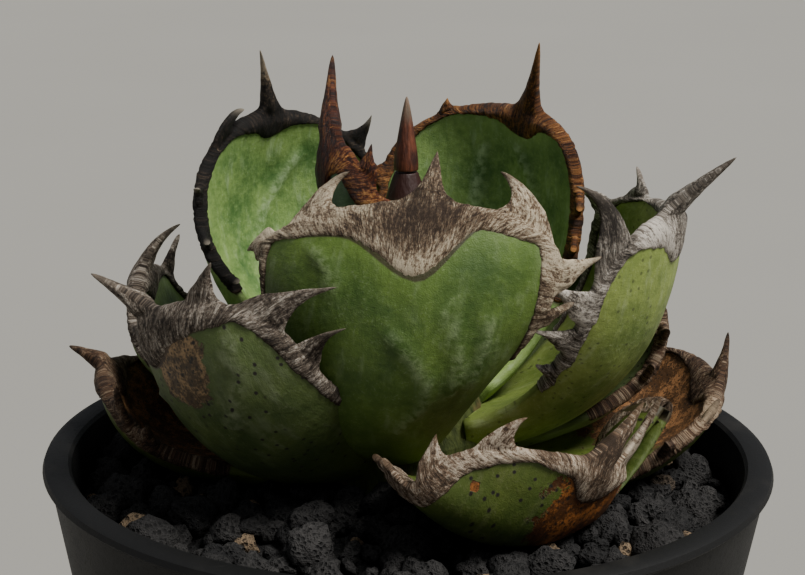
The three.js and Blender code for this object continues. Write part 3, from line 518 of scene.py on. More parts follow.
class LeafSheet:
    """A leaf as a sheet in millimetres: x across, y along the rib, n over the middle of its thickness."""

    def __init__(self, leaf):
        self.leaf = leaf
        turn = math.radians(leaf["heading"])
        out = np.array([math.sin(turn), -math.cos(turn), 0])
        self.aside = np.array([math.cos(turn), math.sin(turn), 0])
        rise = np.array([0, 0, 1])
        self.knots = np.array([
            out * outwards + rise * up + self.aside * sideways for outwards, up, sideways in leaf["rib"]
        ])
        self.times = np.linspace(0, 1, 201)
        steps = np.linalg.norm(np.diff(self.curve(self.times), axis=0), axis=1)
        self.runs = np.concatenate(([0], np.cumsum(steps)))
        self.length = self.runs[-1]
        self.traces = {side: self.trace(side) for side in (-1, 1)}

    def curve(self, t):
        t = np.asarray(t)[..., None]
        a, b, c, d = self.knots
        return a * (1 - t) ** 3 + 3 * b * t * (1 - t) ** 2 + 3 * c * t ** 2 * (1 - t) + d * t ** 3

    def slope(self, t):
        t = np.asarray(t)[..., None]
        a, b, c, d = self.knots
        return unit((b - a) * (1 - t) ** 2 + 2 * (c - b) * t * (1 - t) + (d - c) * t ** 2)

    def share(self, y):
        return np.clip(y / self.length, 0, 1)

    def between(self, pair, y):
        return pair[0] + (pair[1] - pair[0]) * self.share(y)

    def frame(self, y):
        share = self.share(y)
        time = np.interp(share * self.length, self.runs, self.times)
        along = self.slope(time)
        point = self.curve(time) + along * (y - share * self.length)[..., None]
        across = unit(self.aside - along * dot(self.aside, along))
        turn = np.radians(self.between(self.leaf["twist"], y))[..., None]
        across = across * np.cos(turn) + np.cross(along, across) * np.sin(turn)
        return point, along, across, np.cross(along, across)

    def width(self, y, side):
        leaf = self.leaf
        share = self.share(y)
        full = leaf["half_width"] * np.where(side > 0, leaf["lopsided"], 2 - leaf["lopsided"])
        low = np.clip(share / leaf["widest"], 0, 1)
        rise = np.sin(np.pi / 2 * low) ** 1.3
        past = np.clip((share - leaf["widest"]) / (1 - leaf["widest"]), 0, 1)
        fall = (1 - past ** leaf["round"]) ** (1 / 1.9)
        growing = leaf["base_half_width"] + (full - leaf["base_half_width"]) * rise
        return np.where(share < leaf["widest"], growing, full * fall)

    def at(self, x, y, n):
        point, _, across, inner = self.frame(y)
        cup = self.leaf["cup"]
        bend = 1 / cup[0] + (1 / cup[1] - 1 / cup[0]) * self.share(y)
        angle = np.clip(bend * x, -2.4, 2.4)
        rest = x - angle / bend
        sideways = np.sin(angle) / bend + rest * np.cos(angle) - n * np.sin(angle)
        inwards = (1 - np.cos(angle)) / bend + rest * np.sin(angle) + n * np.cos(angle)
        return point + across * sideways[..., None] + inner * inwards[..., None]

    def half_thickness(self, x, y):
        outwards = np.minimum(1, np.abs(x) / np.maximum(self.width(y, np.sign(x)), 1e-3))
        return 0.5 * (EDGE + (self.between(self.leaf["thick"], y) - EDGE) * (1 - outwards ** 2.2))

    def band_share(self, y):
        share = y / self.length - self.leaf["band_from"]
        return np.where(share < 0, 0, np.minimum(1, 0.35 + 0.65 / 0.35 * share))

    def green_width(self, y, side):
        return np.maximum(0.3, self.width(y, side) - self.leaf["band"] * self.band_share(y))

    def green_end(self, v):
        lobe = smooth_share(np.abs(v), 0, 0.45)
        depth = self.leaf["cap_depth"]
        return self.length - depth - (np.where(v < 0, *self.leaf["lobe_depth"]) - depth) * lobe

    def trace(self, side):
        y = self.length * (1 - np.linspace(0, 1, 400) ** 2.5)
        place = np.stack([side * self.width(y, side), y], axis=1)
        run = np.concatenate(([0], np.cumsum(np.linalg.norm(np.diff(place, axis=0), axis=1))))
        return place, run

    def outline(self, side, run):
        place, runs = self.traces[side]
        return np.array([np.interp(run, runs, place[:, 0]), np.interp(run, runs, place[:, 1])])

    def run_at(self, side, y):
        place, runs = self.traces[side]
        return float(np.interp(-y, -place[:, 1], runs))

    def tipwards(self, side, run):
        return unit(self.outline(side, max(0, run - 0.5)) - self.outline(side, run + 0.5))


def new_mesh(name, corners, faces, attributes):
    """A mesh object from points in millimetres over the rim plane, with its vector attributes."""
    mesh = bpy.data.meshes.new(name)
    mesh.from_pydata((np.asarray(corners) * MM + np.array([0, 0, RIM])).tolist(), [], faces)
    for key, values in attributes.items():
        data = mesh.attributes.new(key, "FLOAT_VECTOR", "POINT").data
        data.foreach_set("vector", np.asarray(values, dtype=np.float32).ravel())
    mesh.shade_smooth()
    piece = bpy.data.objects.new(name, mesh)
    bpy.context.scene.collection.objects.link(piece)
    return piece


def shell_faces(rows, columns):
    """Faces of two grids of points, one under the other, wound outwards."""
    under = rows * columns
    faces = []
    for i in range(rows - 1):
        for j in range(columns - 1):
            a = i * columns + j
            c = a + columns
            faces.append((a, a + 1, c + 1, c))
            faces.append((under + a, under + c, under + c + 1, under + a + 1))
    return faces


def wall(under, a, b):
    return a, under + a, under + b, b


def drift(points, scale, seed):
    """Smooth noise from -1 to 1 at each of many points, of features about 1 / scale wide."""
    shift = Vector((seed * 3.7, seed * 1.9, seed * 5.3))
    flat = np.asarray(points, dtype=float).reshape(-1, points.shape[-1]) * scale
    return np.array([noise.noise(Vector(point) + shift) for point in flat]).reshape(points.shape[:-1])


def ridge_lines(lines, face, x, y):
    """How strongly the ridges that its neighbours pressed into the leaf in the bud show at a place."""
    strength = np.zeros_like(x)
    for side, *places in lines:
        for (ax, ay), (bx, by) in zip(places, places[1:]) if side == face else ():
            span = (bx - ax) ** 2 + (by - ay) ** 2
            share = np.clip(((x - ax) * (bx - ax) + (y - ay) * (by - ay)) / span, 0, 1)
            away = np.hypot(x - ax - share * (bx - ax), y - ay - share * (by - ay))
            strength = np.maximum(strength, np.exp(-((away / 0.9) ** 2)))
    return strength


def nearness(spots, x, y):
    """1 in the middle of the nearest spot, 0 on its edge, and below 0 beyond; a spot is (x, y, radius)."""
    return np.max([1 - np.hypot(x - px, y - py) / size for px, py, size in spots], axis=0)


def blade_piece(leaf, sheet, look, seed):
    columns = 1 - 2 * np.arange(BLADE_COLUMNS + 1) / BLADE_COLUMNS
    rows = 1 - (1 - np.arange(BLADE_ROWS + 1) / BLADE_ROWS) ** 1.3
    end = sheet.green_end(columns)
    tuck = min(1.4, 0.35 * min(leaf["lobe_depth"]))
    y = rows[:, None] * (end + tuck)[None, :]
    side = np.sign(columns)[None, :] + 0 * y
    green = sheet.green_width(y, side)
    x = columns * (green + 0.5 * leaf["band"] * sheet.band_share(y))
    rim = np.minimum(green - np.abs(x), end[None, :] - y)
    fade = smooth_share(rim, 0.3, 5)
    corners, places, marks, stains = [], [], [], []
    for face in (1, -1):
        pressed = ridge_lines(look.get("pressed", []), face, x, y)
        spots = [spot[1:] for spot in look.get("stains", []) if spot[0] == face] or [(0, -99, 1)]
        stain = np.maximum(nearness(spots, x, y), -1)
        where = np.stack([x, y, 0 * x + 9 * face], axis=-1)
        swell = 0.45 * drift(where, 0.055, seed) + 0.16 * drift(where, 0.2, seed) + 0.9 * pressed
        half = sheet.half_thickness(x, y) + swell * fade
        corners.append(sheet.at(x, y, face * half).reshape(-1, 3))
        places.append(np.stack([x, y, 0 * x + face], axis=-1).reshape(-1, 3))
        marks.append(np.stack([pressed, rim, y / sheet.length], axis=-1).reshape(-1, 3))
        stains.append(np.stack([stain, stain, stain], axis=-1).reshape(-1, 3))
    count = BLADE_COLUMNS + 1
    under = count * (BLADE_ROWS + 1)
    top = under - count
    faces = shell_faces(BLADE_ROWS + 1, count)
    faces += [wall(under, j, j + 1) for j in range(count - 1)]
    faces += [wall(under, top + j + 1, top + j) for j in range(count - 1)]
    for i in range(BLADE_ROWS):
        low = i * count
        faces += [wall(under, low + count, low), wall(under, low + count - 1, low + 2 * count - 1)]
    attributes = {
        "leaf": np.concatenate(places), "marks": np.concatenate(marks), "stain": np.concatenate(stains),
    }
    return new_mesh(leaf["name"] + "_skin", np.concatenate(corners), faces, attributes)


RING = np.array([
    (-1, 0.35), (-1, -0.35), (-0.55, -0.85), (0, -1), (0.55, -0.85),
    (1, -0.35), (1, 0.35), (0.55, 0.85), (0, 1), (-0.55, 0.85),
])
HORN_MARKS = (0.1, 0.26, 0.45, 0.65, 0.84, 1)


def spread(start, end):
    pieces = max(1, math.ceil((start - end) / BAND_STEP))
    return [start + (end - start) * k / pieces for k in range(1, pieces)]


def side_stations(sheet, side):
    """Distances from the tip of the stations up one side, and where each tooth's five begin."""
    leaf = sheet.leaf
    spine_root = 1.5 * leaf["spine"][4]
    teeth = sorted((tooth for tooth in leaf["teeth"] if tooth[0] == side), key=lambda tooth: -tooth[1])
    runs = [sheet.run_at(side, leaf["band_from"] * sheet.length)]
    roots = []
    for k, tooth in enumerate(teeth):
        place, half_base = tooth[1], tooth[3]
        following = teeth[k + 1][1] + teeth[k + 1][3] if k + 1 < len(teeth) else spine_root
        low = min(place + half_base, runs[-1] - 1)
        high = max(place - half_base, min(place - 1, following + 1))
        runs += spread(runs[-1], low)
        roots.append((len(runs), tooth))
        runs += [low, (low + place) / 2, place, (place + high) / 2, high]
    runs += spread(runs[-1], spine_root) + [spine_root, spine_root / 2, 0]
    return runs, roots


def green_edge(sheet, side, run):
    """The place where horn and green meet, abreast of a place on the outline."""
    lobe = sheet.green_end(np.float64(side))
    y = sheet.outline(side, run)[1]
    if y < lobe:
        return np.array([side * sheet.green_width(y, side), y])
    v = side * run / sheet.run_at(side, lobe)
    end = sheet.green_end(np.float64(v))
    return np.array([v * sheet.green_width(end, side), end])


def tooth_rings(sheet, tooth):
    side, run, length, half_base, lean, curl, off = (*tooth, 0)[:7]
    place = sheet.outline(side, run)
    tipwards = sheet.tipwards(side, run)
    outwards = side * np.array([tipwards[1], -tipwards[0]])
    before = 0
    for mark in HORN_MARKS:
        angle = math.radians(lean + curl * (before + mark) / 2)
        ahead = outwards * math.cos(angle) + tipwards * math.sin(angle)
        over = side * (outwards * math.sin(angle) - tipwards * math.cos(angle))
        place = place + ahead * length * (mark - before)
        rise = off * mark ** 2
        here = sheet.at(place[0], place[1], rise)
        ex = unit(sheet.at(place[0] + 0.2, place[1], rise) - here)
        ey = unit(sheet.at(place[0], place[1] + 0.2, rise) - here)
        wide = half_base * (0.6 * (1 - mark) ** 3 + 0.4 * (1 - mark))
        yield here, unit(ex * over[0] + ey * over[1]) * wide, unit(np.cross(ey, ex)) * (1.1 - 0.55 * mark)
        before = mark


def spine_rings(sheet):
    length, lean, bend, aside, radius = sheet.leaf["spine"]
    point, along, across, inner = sheet.frame(np.float64(sheet.length))
    turn = math.radians(aside)
    before = 0
    for mark in HORN_MARKS:
        back = math.radians(lean + bend * mark)
        ahead = along * math.cos(back) + inner * math.sin(back)
        ahead = unit(ahead * math.cos(turn) + across * math.sin(turn))
        point = point + ahead * length * (mark - before)
        wide = radius * (0.35 * (1 - mark) ** 3 + 0.65 * (1 - mark))
        side = unit(across - ahead * dot(across, ahead))
        yield point, side * wide, np.cross(ahead, side) * (0.8 * wide + 0.3)
        before = mark


def horn_piece(leaf, sheet, look, seed):
    """The margin in one piece: band, cap, teeth and spine."""
    left, left_roots = side_stations(sheet, -1)
    right, right_roots = side_stations(sheet, 1)
    stations = [(-1, run) for run in left] + [(1, run) for run in reversed(right[:-1])]
    last = len(stations) - 1
    roots = {start: tooth for start, tooth in left_roots}
    roots.update({last - start - 4: tooth for start, tooth in right_roots})
    roots[len(left) - 3] = None
    inner = np.array([green_edge(sheet, side, run) for side, run in stations])
    outer = np.array([sheet.outline(side, run) for side, run in stations])
    travel = np.array([side * run for side, run in stations])
    reach = np.linalg.norm(outer - inner, axis=1)
    here = np.stack([travel, 0 * travel, 0 * travel], axis=1)
    wander = 0.45 + 0.8 * drift(here, 0.17, seed) + 0.6 * drift(here, 0.6, seed + 3)
    inner = inner + (inner - outer) / np.maximum(reach, 0.1)[:, None] * wander[:, None]
    shares = np.arange(BAND_COLUMNS + 1) / BAND_COLUMNS
    x, y = np.moveaxis(inner[:, None] + (outer - inner)[:, None] * shares[None, :, None], -1, 0)
    proud = np.array([0.12, 0.5, 0.6, 0.5, 0.1])[None, :]
    keel = 0.7 * np.exp(-((x / 2.6) ** 2)) * smooth_share(y, 0.6 * sheet.length, sheet.length)
    count = BAND_COLUMNS + 1
    grain = np.stack([0 * x + travel[:, None], reach[:, None] * shares, 0 * x], axis=-1).reshape(-1, 3)
    corners = []
    for face in (1, -1):
        half = sheet.half_thickness(x, y) + proud + (keel if face < 0 else 0)
        corners.append(sheet.at(x, y, face * half).reshape(-1, 3))
    under = count * len(stations)
    faces = shell_faces(len(stations), count)
    faces += [wall(under, j, j + 1) for j in range(count - 1)]
    faces += [wall(under, last * count + j + 1, last * count + j) for j in range(count - 1)]
    faces += [wall(under, (i + 1) * count, i * count) for i in range(last)]
    taken = {start + k for start in roots for k in range(4)}
    edge = [i * count + count - 1 for i in range(len(stations))]
    faces += [wall(under, edge[i], edge[i + 1]) for i in range(last) if i not in taken]
    corners = list(np.concatenate(corners))
    grain = list(np.concatenate([grain, grain]))
    for start, tooth in roots.items():
        tops = edge[start:start + 5]
        ring = [tops[0], *(under + top for top in tops), *reversed(tops[1:])]
        base = grain[tops[2]]
        length = tooth[2] if tooth else leaf["spine"][0]
        rings = tooth_rings(sheet, tooth) if tooth else spine_rings(sheet)
        for mark, (centre, wide, thick) in zip(HORN_MARKS, rings):
            first = len(corners)
            size = 1 if mark == 1 else len(RING)
            for across, over in RING[:size]:
                if mark == 1:
                    across = over = 0
                corners.append(centre + wide * across + thick * over)
                grain.append((base[0] + across * np.linalg.norm(wide), base[1] + length * mark, mark))
            new = [first + k % size for k in range(len(RING))]
            for k in range(len(RING)):
                after = (k + 1) % len(RING)
                face = (ring[k], ring[after], new[after], new[k])
                faces.append(face if size > 1 else face[:3])
            ring = new
    piece = new_mesh(leaf["name"] + "_margin", corners, faces, {"grain": grain})
    keep_only(piece)
    piece.modifiers.new("round", "SUBSURF")
    piece.modifiers["round"].levels = HORN_LEVELS
    bpy.ops.object.modifier_apply(modifier="round")
    mesh = piece.data
    total = len(mesh.vertices)
    place, normal, paths = np.empty(total * 3), np.empty(total * 3), np.empty(total * 3)
    mesh.vertices.foreach_get("co", place)
    mesh.vertex_normals.foreach_get("vector", normal)
    mesh.attributes["grain"].data.foreach_get("vector", paths)
    paths = paths.reshape(-1, 3)
    fibre = paths * np.array([0.9, 0.2, 0])
    swell = 0.2 * drift(fibre, 1.0, seed) + 0.12 * drift(fibre, 2.4, seed + 1)
    swell += 0.1 * drift(paths, 0.7, seed + 2)
    swell *= 1 - 0.75 * paths[:, 2]
    place += (normal.reshape(-1, 3) * swell[:, None] * MM).ravel()
    mesh.vertices.foreach_set("co", place)
    casts = np.zeros((total, 3))
    for travel, out, size, strength in look.get("casts", []):
        away = np.hypot(paths[:, 0] - travel, paths[:, 1] - out)
        casts[:, 0] += strength * np.exp(-((away / size) ** 2))
    mesh.attributes.new("cast", "FLOAT_VECTOR", "POINT").data.foreach_set("vector", casts.ravel())
    mesh.update()
    return piece


def skin_finish(name, deep, bright, bloom, dots=0.0, stain=(0.3, 0.19, 0.09)):
    """Waxy green skin: mottled, bloomed, with pale pressed lines, some dots, and a dark line at the horn that
    is partly the leaf's own brown edging and partly painted shade under the raised horn.
    """
    material, shader, here = start_finish(name, Specular_IOR_Level=0.4)
    leaf = here.attribute("leaf", 1)
    pressed, rim, rise = here.attribute("marks", 1).split()
    stained, _, _ = here.attribute("stain", 1).split()
    streaked = leaf.node("ShaderNodeVectorMath", {"operation": "MULTIPLY"}, {0: leaf, 1: (1, 0.3, 1)})
    broad = leaf.noise(0.07, detail=4)
    fine = leaf.noise(0.6, detail=6, roughness=0.65)
    frost = leaf.noise(2.2, detail=4, roughness=0.75)
    streaks = streaked.noise(0.5, detail=5)
    colour = (broad * 0.8 + fine * 0.4 - 0.1).step(0.3, 0.75).blend(deep, bright)
    colour = (rise.step(0.5, 0.05) * 0.5).blend(colour, (0.16, 0.22, 0.03))
    colour = (rim.step(6, 0) * 0.4).blend(colour, bright)
    colour = (streaks.step(0.5, 0.72) * broad.step(0.35, 0.6) * 0.3).blend(colour, bloom)
    colour = (frost.step(0.5, 0.72) * fine.step(0.4, 0.65) * 0.4).blend(colour, bloom)
    colour = (pressed * fine.step(0.35, 0.6) * 0.5).blend(colour, bloom)
    ragged = leaf.noise(0.35, detail=6, roughness=0.7)
    scar = (stained + ragged - 0.5).step(0, 0.06)
    scarred = (ragged * 0.8 + frost * 0.5).step(0.52, 0.7).blend(stain, tuple(0.2 * part for part in stain))
    colour = scar.blend(colour, scarred)
    spots = leaf.dots(0.34).step(0.15, 0.06) * leaf.noise(0.1, detail=2).step(0.42, 0.5) * dots
    spots = spots + leaf.dots(0.7).step(0.2, 0.1) * scar * 0.8
    colour = spots.blend(colour, (0.014, 0.011, 0.008))
    # The dark line along the horn: partly the leaf's own brown edging, partly painted shade under the raised
    # horn.
    colour = (rim.step(0.1, -0.3) * 0.85).blend(colour, (0.03, 0.016, 0.008))
    roughness = 0.44 + 0.16 * fine + 0.12 * broad
    height = 0.5 * streaks + 0.35 * fine + leaf.noise(4, detail=2) * 0.15 - scar * ragged * 0.4
    end_finish(shader, colour, roughness, height, 0.0005)
    return material


def horn_finish(name, pale, middle, dark, tip, shade=0.0, rough=0.55):
    """Dry horny margin: streaked with fibres, speckled pale and dark, with a dark line at the green that is
    partly the horn's own brown edging and partly painted shade where it sits on the green.
    """
    material, shader, here = start_finish(name, Specular_IOR_Level=0.25)
    grain = here.attribute("grain", 1)
    cast, _, _ = here.attribute("cast", 1).split()
    _, out, mark = grain.split()
    fibres = grain.node("ShaderNodeVectorMath", {"operation": "MULTIPLY"}, {0: grain, 1: (1.3, 0.24, 0)})
    fibre = fibres.noise(1.0, detail=8, roughness=0.72, distortion=0.5)
    hairs = fibres.noise(4.0, detail=5, roughness=0.7)
    patches = grain.noise(0.2, detail=3, roughness=0.55)
    speckle = grain.noise(1.6, detail=6, roughness=0.85)
    flecks = fibres.noise(1.9, detail=8, roughness=0.85, distortion=1.2)
    tone = patches + fibre * 1.4 + speckle * 2.2 + flecks * 1.2 + cast * 0.3 - (2.4 + shade)
    colour = tone.step(0.2, 0.5).blend(dark, middle)
    colour = tone.step(0.46, 0.78).blend(colour, pale)
    colour = ((hairs * 0.6 + speckle * 0.6 - cast * 0.1).step(0.6, 0.68) * 0.85).blend(colour, dark)
    colour = (mark.step(0.45, 1.0) * 0.7).blend(colour, tip)
    # The dark line at the green: partly the horn's own brown edging, partly painted shade where it sits on the
    # green.
    colour = (out.step(0.6, 0.15) * 0.85).blend(colour, (0.03, 0.018, 0.011))
    roughness = rough + 0.3 * fibre
    end_finish(shader, colour, roughness, fibre * 0.6 + hairs * 0.3 + speckle * 0.25, 0.0009)
    return material


# Four skins are lit and shaded copies of one waxy green. right and inner are lighter copies, painted light
# where the sun falls on the leaf. left and low are darker copies, painted shade where the leaf is turned from
# the sun or lies under others.
SKINS = {
    "front": skin_finish(
        "skin_front", deep=(0.034, 0.075, 0.009), bright=(0.11, 0.18, 0.025), bloom=(0.25, 0.31, 0.17),
    ),
    "left": skin_finish(
        "skin_left_painted_shade", deep=(0.032, 0.055, 0.013), bright=(0.09, 0.125, 0.03), bloom=(0.22, 0.25, 0.16),
        dots=1.0,
    ),
    "right": skin_finish(
        "skin_right_painted_lit", deep=(0.09, 0.14, 0.02), bright=(0.29, 0.36, 0.085), bloom=(0.45, 0.5, 0.31),
        dots=0.5,
    ),
    "inner": skin_finish(
        "skin_inner_painted_lit", deep=(0.05, 0.12, 0.028), bright=(0.25, 0.37, 0.1), bloom=(0.42, 0.52, 0.34),
    ),
    "young": skin_finish(
        "skin_young", deep=(0.035, 0.085, 0.035), bright=(0.1, 0.18, 0.08), bloom=(0.28, 0.36, 0.27),
    ),
    "low": skin_finish(
        "skin_low_painted_shade", deep=(0.03, 0.055, 0.007), bright=(0.09, 0.12, 0.016), bloom=(0.2, 0.2, 0.1),
        dots=1.0, stain=(0.32, 0.11, 0.02),
    ),
    "dry": skin_finish(
        "skin_dry", deep=(0.04, 0.075, 0.008), bright=(0.13, 0.17, 0.02), bloom=(0.24, 0.25, 0.12),
        dots=0.6, stain=(0.38, 0.18, 0.07),
    ),
}
HORNS = {
    "ivory": horn_finish(
        "horn_ivory", pale=(0.62, 0.52, 0.37), middle=(0.17, 0.11, 0.065), dark=(0.03, 0.018, 0.011),
        tip=(0.1, 0.07, 0.05),
    ),
    "grey": horn_finish(
        "horn_grey", pale=(0.62, 0.55, 0.46), middle=(0.15, 0.115, 0.085), dark=(0.02, 0.014, 0.01),
        tip=(0.16, 0.13, 0.1), shade=0.06,
    ),
    "silver": horn_finish(
        "horn_silver", pale=(0.64, 0.58, 0.5), middle=(0.18, 0.15, 0.12), dark=(0.025, 0.02, 0.016),
        tip=(0.14, 0.11, 0.085),
    ),
    "black": horn_finish(
        "horn_black", pale=(0.22, 0.16, 0.1), middle=(0.03, 0.02, 0.014), dark=(0.006, 0.005, 0.004),
        tip=(0.3, 0.26, 0.2), shade=0.28,
    ),
    "rust": horn_finish(
        "horn_rust", pale=(0.5, 0.25, 0.08), middle=(0.19, 0.065, 0.014), dark=(0.018, 0.007, 0.004),
        tip=(0.4, 0.18, 0.045), shade=0.14, rough=0.35,
    ),
    "mahogany": horn_finish(
        "horn_mahogany", pale=(0.5, 0.24, 0.07), middle=(0.11, 0.026, 0.008), dark=(0.012, 0.004, 0.003),
        tip=(0.02, 0.01, 0.008), shade=0.12, rough=0.3,
    ),
    "tan": horn_finish(
        "horn_tan", pale=(0.6, 0.5, 0.38), middle=(0.16, 0.1, 0.06), dark=(0.03, 0.018, 0.01),
        tip=(0.12, 0.075, 0.04), shade=0.02,
    ),
    "brown": horn_finish(
        "horn_brown", pale=(0.4, 0.3, 0.2), middle=(0.1, 0.05, 0.025), dark=(0.015, 0.008, 0.005),
        tip=(0.03, 0.02, 0.014), shade=0.05,
    ),
}
# pressed holds ridges as (face, place, place, ...), stains holds blotches as (face, x, y, radius), and casts
# holds paler or darker places of the horn as (distance round the edge, distance out, radius, strength).
LOOKS = {
    "low_front": dict(
        skin="low", horn="tan", stains=[(-1, 8, 38, 17), (-1, -21, 33, 1), (1, 0, 40, 30)],
        casts=[(-22, 8, 8, 0.5), (12, 8, 10, 0.6), (0, 10, 5, -0.6)],
    ),
    "low_left": dict(skin="dry", horn="brown", stains=[(1, 0, 42, 34)]),
    "low_right": dict(skin="dry", horn="brown", stains=[(1, 10, 48, 26)], casts=[(-15, 5, 5, 1.2)]),
    "low_back": dict(skin="low", horn="brown"),
    "left_rear": dict(skin="inner", horn="grey"),
    "right_rear": dict(skin="left", horn="brown"),
    "back": dict(skin="inner", horn="rust"),
    "left_front": dict(
        skin="left", horn="grey", stains=[(-1, 8, 51, 7)],
        pressed=[(-1, (20, 52), (19, 47), (13, 40)), (-1, (-8, 44), (-12, 34), (-8, 25))],
    ),
    "right": dict(skin="right", horn="silver", casts=[(-18, 12, 9, -0.6), (-8, 3, 6, 0.7), (-28, 8, 6, 0.8)]),
    "back_left": dict(
        skin="inner", horn="black", casts=[(0, 17, 7, 1.8)],
        pressed=[(1, (6, 40), (2, 52), (-8, 64)), (1, (-6, 36), (-10, 50))],
    ),
    "back_right": dict(
        skin="inner", horn="rust",
        pressed=[(1, (-12, 30), (-9, 46), (2, 62)), (1, (6, 30), (13, 46), (11, 60))],
    ),
    "front": dict(
        skin="front", horn="ivory",
        pressed=[
            (-1, (-2, 41), (1, 38), (4, 34), (4, 29), (0, 23)), (-1, (6, 47), (8, 41), (9, 36), (8, 31)),
            (-1, (13, 46), (13, 40), (11, 32)), (-1, (-20, 55), (-15, 50), (-13, 45)),
        ],
        casts=[
            (0, 10, 7, -0.6), (0, 1, 4, 1.2), (-21, 12, 7, 0.4), (16, 12, 7, 0.4), (-35, 8, 7, 0.7),
            (28, 8, 8, 0.7),
        ],
    ),
    "young": dict(skin="young", horn="mahogany", casts=[(24, 3, 6, 1.4), (8, 2, 3, 0.8), (-6, 6, 8, -0.6)]),
}
for seed, leaf in enumerate(LEAVES):
    sheet = LeafSheet(leaf)
    look = LOOKS[leaf["name"]]
    settle(blade_piece(leaf, sheet, look, seed), SKINS[look["skin"]], "leaf", leaf["name"] + "_blade")
    settle(horn_piece(leaf, sheet, look, seed + 20), HORNS[look["horn"]], "horn", leaf["name"] + "_horn")


# Bud. The youngest leaves, still rolled into one tight pointed cone with the edge of the outer one
# showing, and the hard dark spine that ends it.

BUD_PLACE = (-1, 1)
BUD_RINGS = [
    (4, 22.5), (5.3, 26), (6, 30), (6.3, 35), (6, 40), (5.2, 45), (3.7, 50), (2.5, 53.3), (2.25, 53.85),
    (2.2, 53.9),
]
SPINE_RINGS = [
    (2.2, 54.2), (2.3, 54.25), (2.4, 54.8), (2.25, 57), (1.75, 60), (1.2, 63.4), (0.6, 66.6), (0.15, 68.2),
]


def cone_of_rings(name, rings, levels):
    """A closed round shape over the bud's place, from rings of radius and height in millimetres."""
    bpy.ops.object.select_all(action="DESELECT")
    ring = (rings[0][0] * MM, rings[0][1] * MM + RIM)
    bpy.ops.mesh.primitive_circle_add(vertices=20, radius=ring[0], fill_type="NGON", location=(0, 0, ring[1]))
    piece = bpy.context.object
    piece.name = name
    bpy.ops.object.transform_apply(location=True, rotation=True, scale=True)
    bpy.ops.object.mode_set(mode="EDIT")
    bpy.ops.mesh.select_mode(type="EDGE")
    bpy.ops.mesh.select_all(action="SELECT")
    for radius, height in rings[1:]:
        ring = draw_ring(radius * MM, height * MM + RIM, ring)
    bpy.ops.mesh.edge_face_add()
    bpy.ops.mesh.select_all(action="SELECT")
    bpy.ops.mesh.normals_make_consistent(inside=False)
    bpy.ops.transform.translate(value=(BUD_PLACE[0] * MM, BUD_PLACE[1] * MM, 0))
    bpy.ops.object.mode_set(mode="OBJECT")
    bpy.ops.object.shade_smooth()
    piece.modifiers.new("round", "SUBSURF")
    piece.modifiers["round"].levels = levels
    bpy.ops.object.modifier_apply(modifier="round")
    return piece


bud = cone_of_rings("rolled_bud", BUD_RINGS, 2)
middle = Vector((BUD_PLACE[0] * MM, BUD_PLACE[1] * MM, 0))
for vertex in bud.data.vertices:
    out = (vertex.co - middle) * Vector((1, 1, 0))
    turn = math.atan2(out.y, out.x) + (vertex.co.z - RIM) / MM * 0.05
    fold = (turn + 1.3) % (2 * math.pi) / (2 * math.pi)
    vertex.co += out * (0.12 * fold - 0.06)
bud_skin, shader, here = start_finish("bud_skin", Specular_IOR_Level=0.45)
streaked = here.node("ShaderNodeVectorMath", {"operation": "MULTIPLY"}, {0: here, 1: (1, 1, 0.2)})
streaks = streaked.noise(600, detail=4)
cloud = here.noise(120, detail=4)
_, _, up = here.split()
colour = cloud.step(0.3, 0.7).blend((0.05, 0.11, 0.03), (0.12, 0.22, 0.07))
colour = (streaks.step(0.5, 0.75) * 0.4).blend(colour, (0.3, 0.42, 0.3))
colour = up.step(RIM + 44 * MM, RIM + 50 * MM).blend(colour, (0.03, 0.009, 0.006))
end_finish(shader, colour, 0.4 + 0.2 * cloud, streaks, 0.0004)
settle(bud, bud_skin, "leaf", "bud")

bud_spine = cone_of_rings("bud_point", SPINE_RINGS, 2)
bud_horn, shader, here = start_finish("bud_horn", Specular_IOR_Level=0.5)
streaked = here.node("ShaderNodeVectorMath", {"operation": "MULTIPLY"}, {0: here, 1: (1, 1, 0.15)})
streaks = streaked.noise(1500, detail=4)
cloud = here.noise(300, detail=4)
_, _, up = here.split()
colour = (0.5 * streaks + 0.5 * cloud).step(0.35, 0.65).blend((0.03, 0.009, 0.006), (0.16, 0.045, 0.018))
colour = (up.step(RIM + 62 * MM, RIM + 67 * MM) * 0.6).blend(colour, (0.25, 0.19, 0.13))
end_finish(shader, colour, 0.35 + 0.25 * streaks, streaks, 0.0003)
settle(bud_spine, bud_horn, "bud_spine", "bud_spine")


# Stem. The short woody core that carries the leaves, with its roots in the grit; all but hidden.

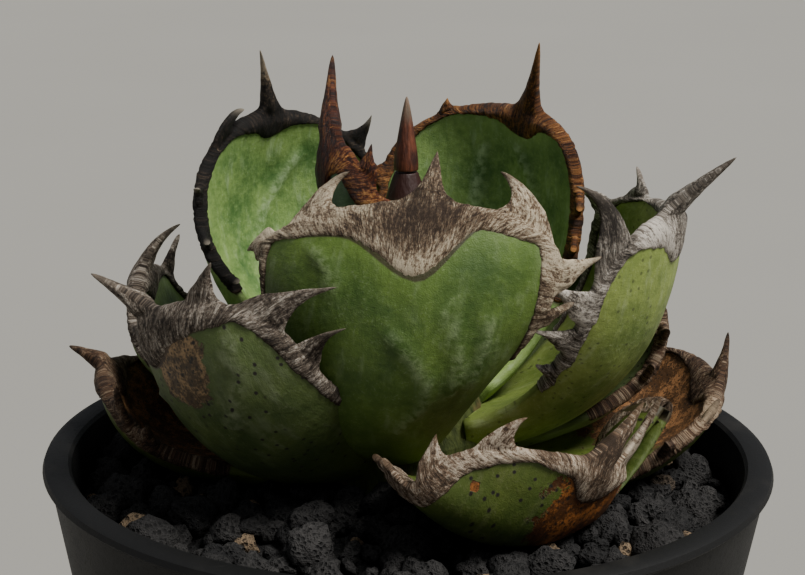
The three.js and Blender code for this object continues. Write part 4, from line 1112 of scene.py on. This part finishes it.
bark, shader, here = start_finish("bark", Specular_IOR_Level=0.2)
streaked = here.node("ShaderNodeVectorMath", {"operation": "MULTIPLY"}, {0: here, 1: (1, 1, 0.25)})
fibre = streaked.noise(500, detail=5, roughness=0.65)
cloud = here.noise(150, detail=3)
colour = fibre.step(0.35, 0.7).blend((0.03, 0.04, 0.012), (0.09, 0.11, 0.03))
colour = (cloud.step(0.55, 0.7) * 0.5).blend(colour, (0.16, 0.1, 0.045))
end_finish(shader, colour, 0.7 + 0.2 * fibre, fibre, 0.0008)
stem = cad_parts["stem"]
stem.data.materials.clear()
stem.data.materials.append(bark)


# Stage. A plain pale floor, soft light from the upper right, and the camera a little above the rim, in front.

SUN_FROM = Vector((0.55, -0.3, 1))
SUN_SPREAD = math.radians(24)
SUN_POWER = 5
SKY_POWER = 0.25
EYE = Vector((-0.00142, -0.34886, 0.24065))
LOOK_DOWN = math.radians(15.08)
ROLL = math.radians(0.61)
FOCAL_LENGTH = 84.97

bpy.ops.object.select_all(action="DESELECT")
bpy.ops.mesh.primitive_plane_add(size=30, location=(0, 8, 0))
floor = bpy.context.object
floor.name = "floor"
paper, shader, here = start_finish("paper", Specular_IOR_Level=0.1)
cloud = here.noise(3, detail=2)
colour = cloud.blend((0.29, 0.28, 0.255), (0.315, 0.305, 0.28))
end_finish(shader, colour, 0.9 + 0.05 * cloud, here.noise(800, detail=2), 0.00005)
floor.data.materials.append(paper)
floor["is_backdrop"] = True

lamp = bpy.data.lights.new("window", "SUN")
lamp.energy = SUN_POWER
lamp.angle = SUN_SPREAD
lamp.color = (1, 0.985, 0.95)
light = bpy.data.objects.new("window", lamp)
light.rotation_euler = SUN_FROM.to_track_quat("Z", "Y").to_euler()
bpy.context.scene.collection.objects.link(light)
world = bpy.data.worlds.new("studio")
bpy.context.scene.world = world
world.use_nodes = True
sky = world.node_tree.nodes["Background"]
sky.inputs["Color"].default_value = (0.9, 0.94, 1, 1)
sky.inputs["Strength"].default_value = SKY_POWER

lens = bpy.data.cameras.new("camera")
lens.sensor_width = 36
lens.lens = FOCAL_LENGTH
lens.clip_start = 0.01
lens.clip_end = 60
camera = bpy.data.objects.new("camera", lens)
sink = Matrix.Rotation(math.pi / 2 - LOOK_DOWN, 4, "X")
camera.matrix_world = Matrix.Translation(EYE) @ sink @ Matrix.Rotation(ROLL, 4, "Z")
bpy.context.scene.collection.objects.link(camera)
bpy.context.scene.camera = camera

boxes = {"cad": cad_box, "scene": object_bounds()}
{name: [list(map(float, row)) for row in box] for name, box in boxes.items()}
